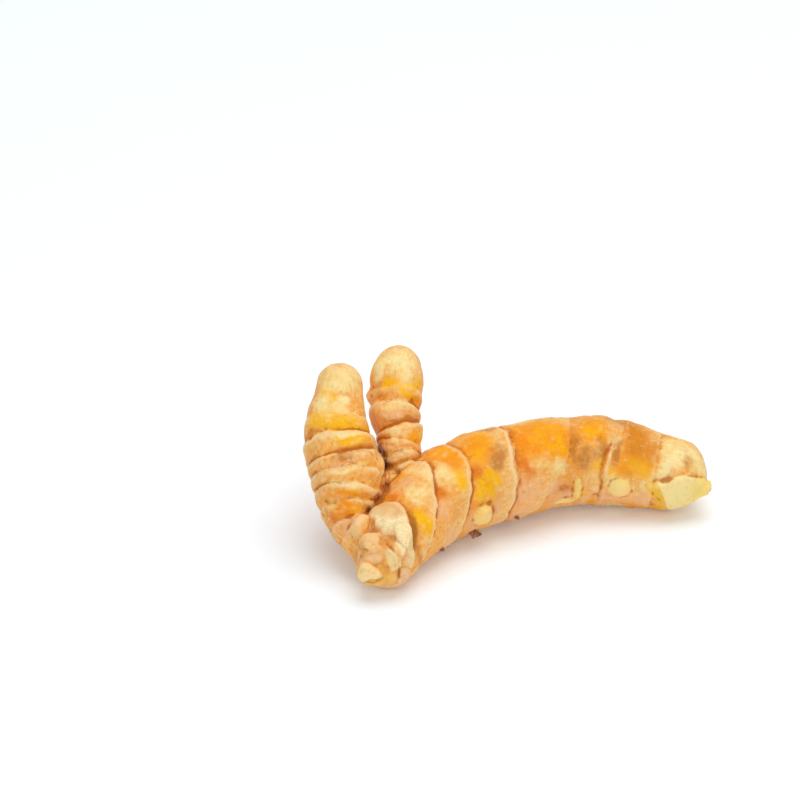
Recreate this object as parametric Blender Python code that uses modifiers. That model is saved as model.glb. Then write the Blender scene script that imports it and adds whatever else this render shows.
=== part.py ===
"""A fresh turmeric rhizome: one grown piece, lying on a surface.

A bent main body carries two side fingers. All three are swept limbs, joined by soft fillets. Every node
leaves a ring round its limb, where the older side stands a step over the younger one, and some nodes
bear a bud. The old end of the main body is a knobbly head and the growing end carries a shoot with flat
faces. Sizes are in
millimetres and become metres in the mesh. +X runs along the main body to its growing tip, +Y points to
the back and +Z up, and the origin is the middle of the underside of the box.
"""

import math

import bmesh
import bpy
import numpy as np
from mathutils import Matrix, Vector, noise

MM = 0.001
NAME = "turmeric_root"

# The origin's place in the frame that the stations are written in.
ORIGIN_X = 0.3
ORIGIN_Y = 24.5

# Each station is x, y, z of the middle of the limb and its radius, from the old end to the growing tip.
MAIN_STATIONS = (
    (-30.2, -2.0, 6.9, 5.0),
    (-28.6, 2.2, 7.0, 6.1),
    (-26.0, 8.2, 8.4, 7.7),
    (-19.1, 20.8, 10.6, 10.1),
    (-9.1, 30.0, 11.6, 10.8),
    (0.5, 34.5, 12.3, 11.0),
    (12.1, 40.3, 11.6, 10.2),
    (21.4, 41.7, 11.3, 10.5),
    (30.9, 41.0, 9.8, 9.2),
    (38.1, 39.8, 8.8, 8.5),
    (41.3, 39.1, 8.5, 7.7),
    (43.6, 38.4, 7.7, 5.6),
    (46.0, 37.4, 6.2, 3.6),
)
LONG_FINGER_STATIONS = (
    (-28.0, 4.5, 7.0, 4.0),
    (-33.0, 8.8, 9.2, 4.6),
    (-36.6, 12.7, 11.7, 5.4),
    (-36.9, 15.5, 14.2, 6.8),
    (-36.7, 18.3, 16.7, 7.9),
    (-37.8, 22.6, 20.6, 8.5),
    (-39.6, 28.0, 25.5, 7.6),
    (-39.6, 31.1, 28.2, 6.9),
    (-39.2, 34.9, 31.6, 5.6),
    (-38.9, 38.4, 34.8, 4.8),
    (-38.7, 41.0, 37.0, 3.9),
)
SHORT_FINGER_STATIONS = (
    (-19.0, 20.0, 9.0, 4.0),
    (-22.8, 24.5, 14.5, 3.9),
    (-25.0, 27.4, 18.2, 4.3),
    (-25.3, 32.4, 22.2, 5.3),
    (-26.0, 35.8, 24.9, 5.5),
    (-26.2, 39.5, 27.7, 5.8),
    (-26.0, 42.4, 30.1, 6.1),
    (-25.8, 46.2, 33.0, 5.7),
    (-25.6, 49.0, 35.2, 4.6),
    (-25.5, 50.8, 36.6, 3.8),
)

# Each ring: where it crosses the limb, in millimetres from its old end, at every sixth of a turn from the top
# round the right-hand side of the limb as it grows, how far the older side stands over the younger one, and
# the half width of the step between them. A step below zero has its younger side on top.
MAIN_RINGS = (
    ((14.6, 7.0, 5.0, 5.0, 8.5, 14.0), 0.9, 0.40),
    ((27.6, 16.8, 9.6, 9.2, 15.0, 24.0), 0.8, 0.35),
    ((36.8, 32.3, 24.8, 23.3, 27.8, 33.8), 1.1, 0.80),
    ((49.0, 47.6, 45.0, 43.0, 43.5, 47.0), 0.5, 0.35),
    ((65.8, 60.3, 52.8, 52.3, 56.3, 63.3), 0.2, 0.60),
    ((77.0, 73.6, 72.8, 70.3, 70.8, 74.8), -0.8, 0.90),
    ((86.2, 86.2, 86.6, 85.0, 84.5, 85.4), 0.3, 0.35),
)
LONG_FINGER_RINGS = (
    ((9.8, 9.6, 9.2, 9.0, 9.2, 9.6), 0.35, 0.30),
    ((12.6, 12.9, 12.4, 12.0, 12.1, 12.3), 0.35, 0.30),
    ((15.8, 16.4, 16.6, 15.8, 15.2, 15.2), 0.6, 0.35),
    ((19.4, 19.6, 20.3, 20.4, 19.6, 18.9), 0.5, 0.35),
    ((23.0, 22.6, 23.0, 24.0, 24.2, 23.8), 0.45, 0.35),
    ((27.0, 27.4, 27.0, 26.6, 27.2, 27.6), 0.9, 0.40),
    ((32.4, 31.6, 31.2, 31.8, 32.6, 32.8), 0.6, 0.45),
    ((37.4, 37.6, 36.8, 36.0, 36.2, 36.8), 0.2, 0.60),
)
SHORT_FINGER_RINGS = (
    ((12.6, 12.4, 12.2, 12.4, 12.8, 12.9), 0.4, 0.30),
    ((15.0, 15.4, 15.3, 14.8, 14.6, 14.7), 0.4, 0.30),
    ((17.6, 17.2, 17.5, 18.2, 18.4, 18.2), 0.35, 0.30),
    ((21.2, 21.6, 22.0, 21.6, 21.0, 20.8), 0.9, 0.40),
    ((26.6, 26.0, 25.6, 26.0, 26.8, 27.2), 0.7, 0.40),
    ((30.8, 31.0, 30.6, 30.0, 30.0, 30.4), 0.3, 0.50),
)

# How far an internode swells, and how soon a ring's step fades out on both sides of it.
SWELL = 0.25
STEP_REACH = 2.6

# The old end's lumps are balls: the middle of each and its half sizes across, along and up.
HEAD_BALLS = (
    (-31.3, -25.4, 6.6, 4.0, 3.4, 3.8),
    (-26.6, -25.0, 6.6, 3.2, 3.2, 3.2),
    (-24.2, -22.2, 8.4, 2.6, 3.4, 3.4),
    (-28.0, -24.6, 10.2, 3.6, 3.2, 3.2),
    (-31.6, -22.6, 10.6, 3.4, 3.6, 3.4),
    (-28.0, -16.0, 12.0, 5.6, 5.2, 4.6),
    (-24.6, -20.8, 11.4, 2.6, 4.0, 3.8),
    (-34.4, -17.0, 12.6, 2.5, 3.0, 3.4),
    (-32.4, -20.5, 6.6, 2.8, 5.0, 4.0),
)
# The lumps of the broken end share its skin between them. Each has a height and a stroke down its middle, and
# a crease runs where two of them are equally near.
HEAD_LUMPS = (
    (0.6, ((-32.2, -15.8, 15.4), (-28.1, -18.0, 16.2), (-30.2, -19.6, 15.2), (-27.4, -21.4, 15.0),
           (-26.2, -19.8, 15.6), (-25.0, -22.9, 14.4), (-25.8, -25.7, 12.2))),
    (-0.3, ((-28.5, -23.6, 13.2), (-28.1, -24.6, 12.6))),
    (-0.3, ((-32.6, -18.9, 14.2), (-32.2, -20.0, 13.9))),
    (0.3, ((-35.1, -18.4, 14.6), (-35.0, -20.0, 12.6))),
    (0.3, ((-33.4, -22.0, 13.0), (-31.2, -22.4, 14.0), (-31.4, -25.6, 12.0))),
    (0.4, ((-27.6, -27.0, 11.8), (-27.0, -28.0, 9.6))),
    (-0.3, ((-29.9, -28.2, 9.6), (-29.4, -28.5, 9.0))),
    (0.1, ((-31.6, -26.6, 11.2), (-30.4, -27.4, 10.4))),
    (0.5, ((-33.0, -28.2, 7.6), (-30.4, -29.0, 8.2))),
    (-0.1, ((-30.6, -29.2, 4.4), (-27.4, -28.4, 5.8))),
    (0.3, ((-23.2, -23.2, 11.4), (-23.2, -25.4, 8.8))),
    (-0.3, ((-24.6, -26.6, 6.2), (-23.2, -24.6, 4.8))),
    (0.0, ((-35.0, -23.4, 10.0), (-34.8, -24.2, 6.4))),
    (0.2, ((-34.6, -19.0, 8.0), (-33.4, -20.0, 4.4))),
    (-0.2, ((-27.6, -24.6, 2.2), (-31.6, -23.0, 2.2))),
    (-0.2, ((-22.4, -20.0, 5.2), (-24.4, -17.4, 3.0))),
)
CREASE_DEPTH = 0.5
CREASE_WIDTH = 0.9
# A lump that stands up is domed: so much higher over its stroke, down to nothing at this distance from it.
LUMP_DOME = 0.35
LUMP_SPAN = 2.8
# How quickly one lump's height passes into the next one's, in millimetres.
LUMP_BLEND = 0.7
# Each knob on a limb is a ball too: its limb, its place along it and round it in degrees, how far its middle
# lies outside the bare limb, and its half sizes along, across and out of the limb.
BUDS = (
    ("main", 34.4, 100, -1.1, 3.2, 2.9, 2.9),
    ("main", 60.8, 122, -1.5, 5.2, 1.5, 2.2),
    ("main", 65.0, 103, -1.4, 1.6, 3.7, 2.2),
    ("main", 77.4, 97, -1.9, 3.6, 3.0, 2.8),
    ("main", 43.4, 278, -1.2, 3.2, 2.8, 2.9),
    ("main", 68.8, 284, -1.4, 3.4, 2.7, 3.0),
    ("main", 17.4, 290, -2.6, 4.6, 4.0, 3.4),
    ("long", 24.1, 62, -1.8, 3.9, 2.2, 2.7),
    ("long", 15.0, -66, -1.9, 2.2, 1.8, 2.3),
    ("long", 29.8, 226, -1.6, 2.6, 2.3, 2.6),
    ("long", 14.2, -2, -2.2, 2.4, 3.8, 2.7),
    ("short", 29.8, 272, -1.6, 2.4, 2.1, 2.6),
    ("short", 22.8, 150, -1.5, 2.2, 2.0, 2.3),
    ("short", 9.8, 270, 0.4, 3.6, 2.8, 2.8),
)
# The corners of the shoot, a blunt wedge.
SHOOT_CORNERS = (
    (32.3, 6.8, 10.3),
    (35.4, 5.7, 10.5),
    (38.0, 6.6, 3.9),
    (36.6, 9.2, 2.4),
    (42.2, 7.1, 4.5),
    (46.8, 8.4, 6.5),
    (47.9, 10.0, 7.2),
    (47.8, 12.2, 8.6),
    (42.0, 7.2, 12.4),
    (41.0, 17.0, 5.5),
    (35.0, 17.0, 5.5),
)
# Hollows pressed into the skin: the limb, the place along and round it, the half sizes along and round it,
# and the depth.
HOLLOWS = (
    ("main", 74.0, 42, 2.4, 3.6, 0.7),
    ("main", 70.2, 66, 2.4, 3.2, 0.5),
    ("main", 59.4, 98, 2.4, 2.0, 0.6),
    ("main", 37.4, 50, 1.6, 4.6, 0.5),
    ("main", 89.8, 72, 1.4, 2.6, 0.6),
    ("main", 23.0, 46, 1.6, 3.0, 0.4),
    ("long", 27.0, 12, 1.0, 6.0, 0.7),
    ("long", 17.4, 84, 1.6, 2.2, 0.6),
    ("short", 21.4, -6, 0.9, 4.6, 0.6),
    ("short", 27.6, 56, 1.3, 1.4, 0.7),
)
# Three calluses under the main body carry it, one at each end and one outside its bend.
RESTS = (
    ("main", 7.4, 180, -1.8, 3.4, 3.2, 3.2),
    ("main", 40.4, 218, -0.6, 5.0, 4.6, 3.9),
    ("main", 80.8, 180, -2.0, 4.6, 4.0, 3.1),
)
LIMB_KNOBS = (*BUDS, *RESTS)

SPINE_STEP = 0.5
VOXEL = 0.5
FILLET_ROUNDS = 8
TRIANGLES = 9000
# How quickly the rings of one limb give way to those of the next, in millimetres of distance.
LIMB_BLEND = 0.7
# A swelling is fullest a little beyond the middle of its internode.
SWELL_LEAN = 1.3
# The rings fade out between these multiples of a knob's own size.
KNOB_REACH = 1.35
KNOB_FADE = 0.30
LUMP_HEIGHT = 0.35
LUMP_SIZE = 8.0
# The broken end's lumps fade out over this distance before the first ring.
HEAD_FADE = 1.5
# How steeply a hollow's edge falls off: half depth is reached at its half sizes.
HOLLOW_EDGE = 0.7
# A hollow is pressed only into skin that lies within this distance of its limb's bare surface.
HOLLOW_REACH = 2.0


def unit(vectors):
    return vectors / np.linalg.norm(vectors, axis=-1, keepdims=True)


def smooth_through(known, per_span=24):
    """Points of a smooth curve through the stations, spaced by their chords."""
    chord = np.linalg.norm(np.diff(known[:, :3], axis=0), axis=1)
    knot = np.concatenate([[0.0], np.cumsum(chord)])
    slope = np.gradient(known, knot, axis=0)
    spans = []
    for i, width in enumerate(chord):
        t = np.linspace(0.0, 1.0, per_span, endpoint=False)[:, None]
        spans.append(
            (2 * t**3 - 3 * t**2 + 1) * known[i]
            + (t**3 - 2 * t**2 + t) * width * slope[i]
            + (-2 * t**3 + 3 * t**2) * known[i + 1]
            + (t**3 - t**2) * width * slope[i + 1]
        )
    spans.append(known[-1:])
    return np.concatenate(spans)


class Limb:
    """A swept limb: its spine sampled evenly, with a radius and a frame at each sample."""

    def __init__(self, stations, rings):
        known = np.array(stations, float) - (ORIGIN_X, ORIGIN_Y, 0.0, 0.0)
        dense = smooth_through(known)
        steps = np.linalg.norm(np.diff(dense[:, :3], axis=0), axis=1)
        along = np.concatenate([[0.0], np.cumsum(steps)])
        self.length = along[-1]
        self.s = np.linspace(0.0, self.length, int(self.length / SPINE_STEP) + 1)
        columns = [np.interp(self.s, along, dense[:, i]) for i in range(4)]
        self.points = np.stack(columns[:3], axis=1)
        self.radius = columns[3] * self.end_rounding(columns[3])
        self.tangent = unit(np.gradient(self.points, self.s, axis=0))
        self.side = unit(np.cross(self.tangent, (0.0, 0.0, 1.0)))
        self.up = np.cross(self.side, self.tangent)
        self.rings = [np.fft.rfft(ring) / len(ring) for ring, _, _ in rings]
        self.steps = np.array([step for _, step, _ in rings])[:, None]
        self.softness = np.array([soft for _, _, soft in rings])[:, None]

    def end_rounding(self, radius):
        """1 along the limb, falling to 0 at each tip on a round end."""
        share = np.ones_like(self.s)
        for gap, end in ((self.s, radius[0]), (self.length - self.s, radius[-1])):
            inside = np.clip(1.0 - gap / end, 0.0, 1.0)
            share *= np.sqrt(1.0 - inside**2)
        return share

    def at(self, s, turn_degrees):
        """The spine's point there, the directions along and out of the limb, and its radius."""
        i = int(round(s / SPINE_STEP))
        turn = math.radians(turn_degrees)
        out = self.up[i] * math.cos(turn) + self.side[i] * math.sin(turn)
        return self.points[i], self.tangent[i], out, self.radius[i]

    def coordinates(self, points):
        """For each point: its place along the limb, its turn round it, and its gap to the bare surface."""
        square = (points**2).sum(1)[:, None] + (self.points**2).sum(1) - 2 * points @ self.points.T
        i = square.argmin(1)
        offset = points - self.points[i]
        slip = (offset * self.tangent[i]).sum(1)
        along = np.clip(self.s[i] + slip, 0.0, self.length)
        turn = np.arctan2((offset * self.side[i]).sum(1), (offset * self.up[i]).sum(1))
        return along, turn, np.linalg.norm(offset, axis=1) - self.radius[i]

    def ring_place(self, ring, turn):
        """Where a ring crosses the limb at each turn: a smooth closed curve through its six places."""
        place = np.full_like(turn, ring[0].real)
        for k, wave in enumerate(ring[1:], start=1):
            share = 1.0 if k == len(ring) - 1 else 2.0
            place += share * (wave.real * np.cos(k * turn) - wave.imag * np.sin(k * turn))
        return place

    def relief(self, along, turn):
        """Height of the rings over the bare surface: internodes swell, and each ring is a step."""
        places = np.stack([self.ring_place(ring, turn) for ring in self.rings])
        start, end = np.zeros((1, len(along))), np.full((1, len(along)), self.length)
        ends = np.concatenate([start, places, end])
        passed = (along >= places).sum(0)[None]
        low = np.take_along_axis(ends, passed, 0)[0]
        high = np.take_along_axis(ends, passed + 1, 0)[0]
        share = np.clip((along - low) / np.maximum(high - low, 1.0), 0.0, 1.0)
        height = SWELL * np.sin(np.pi * share**SWELL_LEAN)
        beyond = along - places
        side = -0.5 * np.tanh(beyond / self.softness)
        return height + (self.steps * side * np.exp(-np.abs(beyond) / STEP_REACH)).sum(0)


def limb_tube(limb):
    """The bare limb as a closed mesh, from a curve with a radius at each of its points."""
    curve = bpy.data.curves.new("limb", "CURVE")
    curve.dimensions = "3D"
    curve.bevel_depth = MM
    curve.bevel_resolution = 8
    curve.use_fill_caps = True
    spline = curve.splines.new("POLY")
    spline.points.add(len(limb.points) - 1)
    for place, middle, radius in zip(spline.points, limb.points, limb.radius):
        place.co = (*(middle * MM), 1.0)
        place.radius = max(radius, 0.05)
    tube = bpy.data.objects.new("limb", curve)
    bpy.context.scene.collection.objects.link(tube)
    bpy.context.view_layer.update()
    mesh = bpy.data.meshes.new_from_object(tube.evaluated_get(bpy.context.evaluated_depsgraph_get()))
    bpy.data.objects.remove(tube)
    return mesh


def knob_matrix(limbs, knob):
    """Places a unit ball as the knob, in metres."""
    name, s, turn, outside, half_along, half_across, half_out = knob
    spine, along, out, radius = limbs[name].at(s, turn)
    across = np.cross(out, along)
    middle = spine + out * (radius + outside)
    axes = np.stack([along * half_along, across * half_across, out * half_out], axis=1)
    matrix = Matrix.Identity(4)
    for row in range(3):
        for column in range(3):
            matrix[row][column] = axes[row, column] * MM
        matrix[row][3] = middle[row] * MM
    return matrix


def ball_matrix(ball):
    """Places a unit ball as one of the old end's lumps, in metres."""
    x, y, z, half_x, half_y, half_z = (value * MM for value in ball)
    return Matrix.Translation((x, y, z)) @ Matrix.Diagonal((half_x, half_y, half_z, 1.0))


def shoot_wedge():
    """The shoot as a mesh: the hull of its corners."""
    hull = bmesh.new()
    for corner in SHOOT_CORNERS:
        hull.verts.new(Vector(corner) * MM)
    bmesh.ops.convex_hull(hull, input=hull.verts)
    mesh = bpy.data.meshes.new("shoot")
    hull.to_mesh(mesh)
    hull.free()
    return mesh


def joined_shape(limbs):
    """The limbs and knobs as one closed skin, with fillets where they meet."""
    shape = bmesh.new()
    for limb in limbs.values():
        shape.from_mesh(limb_tube(limb))
    matrices = [knob_matrix(limbs, knob) for knob in LIMB_KNOBS] + [ball_matrix(ball) for ball in HEAD_BALLS]
    for matrix in matrices:
        bmesh.ops.create_uvsphere(shape, u_segments=24, v_segments=12, radius=1.0, matrix=matrix)
    shape.from_mesh(shoot_wedge())
    bmesh.ops.remove_doubles(shape, verts=shape.verts, dist=1e-6)
    mesh = bpy.data.meshes.new("joined")
    shape.to_mesh(mesh)
    shape.free()
    body = bpy.data.objects.new("joined", mesh)
    bpy.context.scene.collection.objects.link(body)
    join = body.modifiers.new("join", "REMESH")
    join.mode = "VOXEL"
    join.voxel_size = VOXEL * MM
    fillet = body.modifiers.new("fillet", "SMOOTH")
    fillet.factor = 0.5
    fillet.iterations = FILLET_ROUNDS
    bpy.context.view_layer.update()
    skin = bpy.data.meshes.new_from_object(body.evaluated_get(bpy.context.evaluated_depsgraph_get()))
    bpy.data.objects.remove(body)
    return skin


def on_a_knob(limbs, points):
    """From 0 to 1, how far each point is on a bud, where no ring shows."""
    share = np.zeros(len(points))
    for knob in LIMB_KNOBS:
        inverse = np.array(knob_matrix(limbs, knob).inverted())
        local = (points * MM) @ inverse[:3, :3].T + inverse[:3, 3]
        nearness = (KNOB_REACH - np.linalg.norm(local, axis=1)) / KNOB_FADE
        share = np.maximum(share, np.clip(nearness, 0.0, 1.0))
    return share


def stroke_gap(points, stroke):
    """How far each point is from a stroke of straight pieces."""
    gap = np.full(len(points), np.inf)
    for start, end in zip(np.array(stroke), np.array(stroke)[1:]):
        run = end - start
        share = np.clip((points - start) @ run / (run @ run), 0.0, 1.0)
        gap = np.minimum(gap, np.linalg.norm(points - start - share[:, None] * run, axis=1))
    return gap


def head_relief(points):
    """The height of the old end's lumps, with the creases between them."""
    gaps = np.stack([stroke_gap(points, stroke) for _, stroke in HEAD_LUMPS])
    heights = np.array([height for height, _ in HEAD_LUMPS])
    nearest, second = np.sort(gaps, axis=0)[:2]
    share = np.exp(-(gaps - nearest) / LUMP_BLEND)
    height = (share * heights[:, None]).sum(0) / share.sum(0)
    standing = (share * (heights >= 0.0)[:, None]).sum(0) / share.sum(0)
    dome = LUMP_DOME * standing * np.clip(1.0 - (nearest / LUMP_SPAN) ** 2, 0.0, 1.0)
    return height + dome - CREASE_DEPTH * np.exp(-(second - nearest) / CREASE_WIDTH)


def pressed_in(limbs, points):
    """The depth of the hollows at each point."""
    depth = np.zeros(len(points))
    for name, s, turn_degrees, half_along, half_round, deep in HOLLOWS:
        limb = limbs[name]
        along, turn, gap = limb.coordinates(points)
        away = (turn - math.radians(turn_degrees) + math.pi) % (2 * math.pi) - math.pi
        around = away * np.interp(s, limb.s, limb.radius) / half_round
        near = np.exp(-np.clip(np.abs(gap) - HOLLOW_REACH, 0.0, None))
        depth += deep * near * np.exp(-HOLLOW_EDGE * (((along - s) / half_along) ** 2 + around**2))
    return depth


def raise_relief(mesh, limbs):
    """Moves the skin out and in by the rings' relief and by the soft lumps of a grown thing."""
    points = np.empty(len(mesh.vertices) * 3)
    mesh.vertices.foreach_get("co", points)
    points = points.reshape(-1, 3) / MM
    normals = np.array([v.normal for v in mesh.vertices])
    heights, nearness = [], []
    for limb in limbs.values():
        along, turn, gap = limb.coordinates(points)
        heights.append(limb.relief(along, turn))
        nearness.append(np.exp(-np.clip(gap, -4.0, 12.0) / LIMB_BLEND))
    weight = np.stack(nearness) / np.sum(nearness, axis=0)
    main = limbs["main"]
    along, turn, _ = main.coordinates(points)
    before_collar = main.ring_place(main.rings[0], turn) - along
    in_head = np.clip(before_collar / HEAD_FADE, 0.0, 1.0) * weight[0]
    height = (weight * np.stack(heights)).sum(0) * (1.0 - on_a_knob(limbs, points))
    height += in_head * head_relief(points) - pressed_in(limbs, points)
    height += [LUMP_HEIGHT * noise.noise(Vector(p) / LUMP_SIZE) for p in points]
    mesh.vertices.foreach_set("co", ((points + normals * height[:, None]) * MM).ravel())
    mesh.update()


def base_cutter():
    """A block whose top is the surface that the root lies on."""
    bpy.ops.mesh.primitive_cube_add(size=1.0, location=(0.0, 0.0, -0.01))
    block = bpy.context.object
    block.name = "base_cutter"
    block.scale = (0.2, 0.2, 0.02)
    block.hide_render = True
    block.display_type = "WIRE"
    return block


def skin_material():
    material = bpy.data.materials.new("turmeric_skin")
    material.use_nodes = True
    finish = material.node_tree.nodes["Principled BSDF"]
    finish.inputs["Base Color"].default_value = (0.78, 0.38, 0.10, 1.0)
    finish.inputs["Roughness"].default_value = 0.5
    finish.inputs["Metallic"].default_value = 0.0
    return material


def main():
    for old in list(bpy.data.objects):
        bpy.data.objects.remove(old)
    limbs = {
        "main": Limb(MAIN_STATIONS, MAIN_RINGS),
        "long": Limb(LONG_FINGER_STATIONS, LONG_FINGER_RINGS),
        "short": Limb(SHORT_FINGER_STATIONS, SHORT_FINGER_RINGS),
    }
    mesh = joined_shape(limbs)
    raise_relief(mesh, limbs)
    mesh.name = NAME
    mesh.materials.append(skin_material())
    mesh.shade_smooth()
    root = bpy.data.objects.new(NAME, mesh)
    bpy.context.scene.collection.objects.link(root)
    thin = root.modifiers.new("thin", "DECIMATE")
    thin.ratio = TRIANGLES / (2 * len(mesh.polygons))
    flats = root.modifiers.new("flats", "BOOLEAN")
    flats.operation = "DIFFERENCE"
    flats.object = base_cutter()
    return root, limbs


ROOT, LIMBS = main()
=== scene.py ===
# %% [markdown]
# # A fresh turmeric rhizome
#
# Turmeric is a swollen stem that creeps underground. It grows in short lengths, the internodes. Each one
# ends at a node, where a papery leaf scale used to sit, and the scale leaves a ring round the stem. Buds sit
# at some nodes, and some of them grow into fingers. This lesson dresses the plain solid of such a root: it
# grows the same limbs again with a finer skin, raises the rings and the knobbly old end, and then paints the
# skin from what the shape itself knows, such as how near a point is to a ring.
#
# The frame comes first. It brings the solid that the physics uses, in metres, and everything here is made in
# the same place.

# %% Load the frame
import math

import bmesh
import bpy
import numpy as np
from mathutils import Matrix, Vector, noise
from mathutils.bvhtree import BVHTree


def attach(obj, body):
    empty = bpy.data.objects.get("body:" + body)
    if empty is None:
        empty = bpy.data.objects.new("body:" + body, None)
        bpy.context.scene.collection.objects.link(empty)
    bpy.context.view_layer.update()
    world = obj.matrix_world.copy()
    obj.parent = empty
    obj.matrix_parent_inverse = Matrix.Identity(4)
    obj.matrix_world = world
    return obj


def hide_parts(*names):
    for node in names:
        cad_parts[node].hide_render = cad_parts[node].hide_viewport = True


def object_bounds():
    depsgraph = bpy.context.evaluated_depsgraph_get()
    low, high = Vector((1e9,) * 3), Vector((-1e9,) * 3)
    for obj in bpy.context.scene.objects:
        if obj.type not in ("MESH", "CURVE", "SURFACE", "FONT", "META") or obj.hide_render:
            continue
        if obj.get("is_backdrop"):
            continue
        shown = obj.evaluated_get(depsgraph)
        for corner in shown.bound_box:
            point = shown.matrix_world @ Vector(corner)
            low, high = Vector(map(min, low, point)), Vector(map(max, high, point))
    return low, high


MM = 0.001
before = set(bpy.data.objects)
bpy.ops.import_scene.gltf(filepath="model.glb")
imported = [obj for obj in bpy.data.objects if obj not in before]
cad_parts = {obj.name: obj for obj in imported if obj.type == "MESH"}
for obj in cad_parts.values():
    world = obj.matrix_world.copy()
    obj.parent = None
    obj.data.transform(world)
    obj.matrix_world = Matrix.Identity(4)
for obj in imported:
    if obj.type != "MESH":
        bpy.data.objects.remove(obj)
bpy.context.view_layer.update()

# %% [markdown]
# ## The camera
#
# The root is seen from 28 degrees above the table, from far enough away that near and far parts are drawn at
# almost the same size. A camera could be aimed with a constraint, but then the picture's centre would be the
# target. Here the centre is worked out from where the origin shows in an 800 pixel picture, so the root
# stands low and to the right, as photographed.

# %% Set up the camera
ELEVATION = math.radians(28.0)
DISTANCE = 0.8
PICTURE = 800
PIXELS_PER_MM = 4.3
ORIGIN_PIXEL = (509.3, 538.5)


def place_camera():
    into = Vector((0.0, math.cos(ELEVATION), -math.sin(ELEVATION)))
    upward = Vector((0.0, math.sin(ELEVATION), math.cos(ELEVATION)))
    sideways = (PICTURE / 2 - ORIGIN_PIXEL[0]) / PIXELS_PER_MM * MM
    lift = (ORIGIN_PIXEL[1] - PICTURE / 2) / PIXELS_PER_MM * MM
    centre = Vector((1.0, 0.0, 0.0)) * sideways + upward * lift
    lens = bpy.data.cameras.new("camera")
    lens.sensor_fit = "HORIZONTAL"
    lens.angle = 2.0 * math.atan(PICTURE / 2 / PIXELS_PER_MM * MM / DISTANCE)
    camera = bpy.data.objects.new("camera", lens)
    camera.location = centre - into * DISTANCE
    camera.rotation_euler = (math.pi / 2 - ELEVATION, 0.0, 0.0)
    bpy.context.scene.collection.objects.link(camera)
    bpy.context.scene.camera = camera
    print("field of view, degrees:", round(math.degrees(lens.angle), 2))


place_camera()

# %% [markdown]
# ## Floor and light
#
# A photograph for a shop has a white ground that fades into the background, with one soft shadow close to the
# thing. A large white plane gives the ground. The light is a soft panel above and a little to the right, a
# weaker one in front, and a white sky that fills the shadows. One small lamp would give hard shadows and
# sharp highlights, which the photograph doesn't have.

# %% Build the floor and the lights
def add(tree, kind, inputs=None, **settings):
    """Adds a node to a material. An input that is another node's socket is linked, and any other is set."""
    node = tree.nodes.new("ShaderNode" + kind)
    for name, value in settings.items():
        setattr(node, name, value)
    for name, value in (inputs or {}).items():
        if isinstance(value, bpy.types.NodeSocket):
            tree.links.new(value, node.inputs[name])
        else:
            node.inputs[name].default_value = value
    return node


def start_finish(name):
    """A material with its shader, ready for more nodes."""
    material = bpy.data.materials.new(name)
    material.use_nodes = True
    return material, material.node_tree, material.node_tree.nodes["Principled BSDF"]


FLOOR_COLOUR = (0.90, 0.95, 1.0, 1.0)
FLOOR_GLOW = 0.09


def make_floor():
    bpy.ops.mesh.primitive_plane_add(size=6.0, location=(0.0, 0.0, 0.0))
    floor = bpy.context.object
    floor.name = "floor"
    material, tree, shader = start_finish("floor_white")
    shader.inputs["Base Color"].default_value = FLOOR_COLOUR
    shader.inputs["Roughness"].default_value = 0.75
    shader.inputs["Specular IOR Level"].default_value = 0.2
    shader.inputs["Emission Color"].default_value = (1.0, 1.0, 1.0, 1.0)
    shader.inputs["Emission Strength"].default_value = FLOOR_GLOW
    floor.data.materials.append(material)
    floor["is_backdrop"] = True


def make_panel(name, place, size, power, colour):
    """A soft square panel of light that faces the root."""
    lamp = bpy.data.lights.new(name, "AREA")
    lamp.shape = "SQUARE"
    lamp.size = size
    lamp.energy = power
    lamp.color = colour
    panel = bpy.data.objects.new(name, lamp)
    panel.location = place
    panel.rotation_euler = (-Vector(place)).to_track_quat("-Z", "Y").to_euler()
    bpy.context.scene.collection.objects.link(panel)


SKY_STRENGTH = 0.52

make_floor()
make_panel("panel_above", (0.12, 0.10, 1.0), 0.9, 5.8, (1.0, 0.99, 0.97))
make_panel("panel_front", (0.1, -1.0, 0.7), 0.8, 2.6, (1.0, 0.99, 0.97))
sky = bpy.data.worlds.new("white_room")
sky.use_nodes = True
sky.node_tree.nodes["Background"].inputs["Color"].default_value = (1.0, 1.0, 1.0, 1.0)
sky.node_tree.nodes["Background"].inputs["Strength"].default_value = SKY_STRENGTH
bpy.context.scene.world = sky
bpy.context.scene.view_settings.view_transform = "Standard"
print("floor and", len(bpy.data.lights), "panels")

# %% [markdown]
# ## The three limbs
#
# The root has a bent main body and two fingers. Each is a limb: a round stem whose middle runs along a curve
# and whose thickness changes on the way. A limb could be sculpted by hand, but a short table of places and
# radii says the same and can be changed in one line. The places are in millimetres, from the old end to the
# growing tip, and the solid is made from the same ones.

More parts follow.
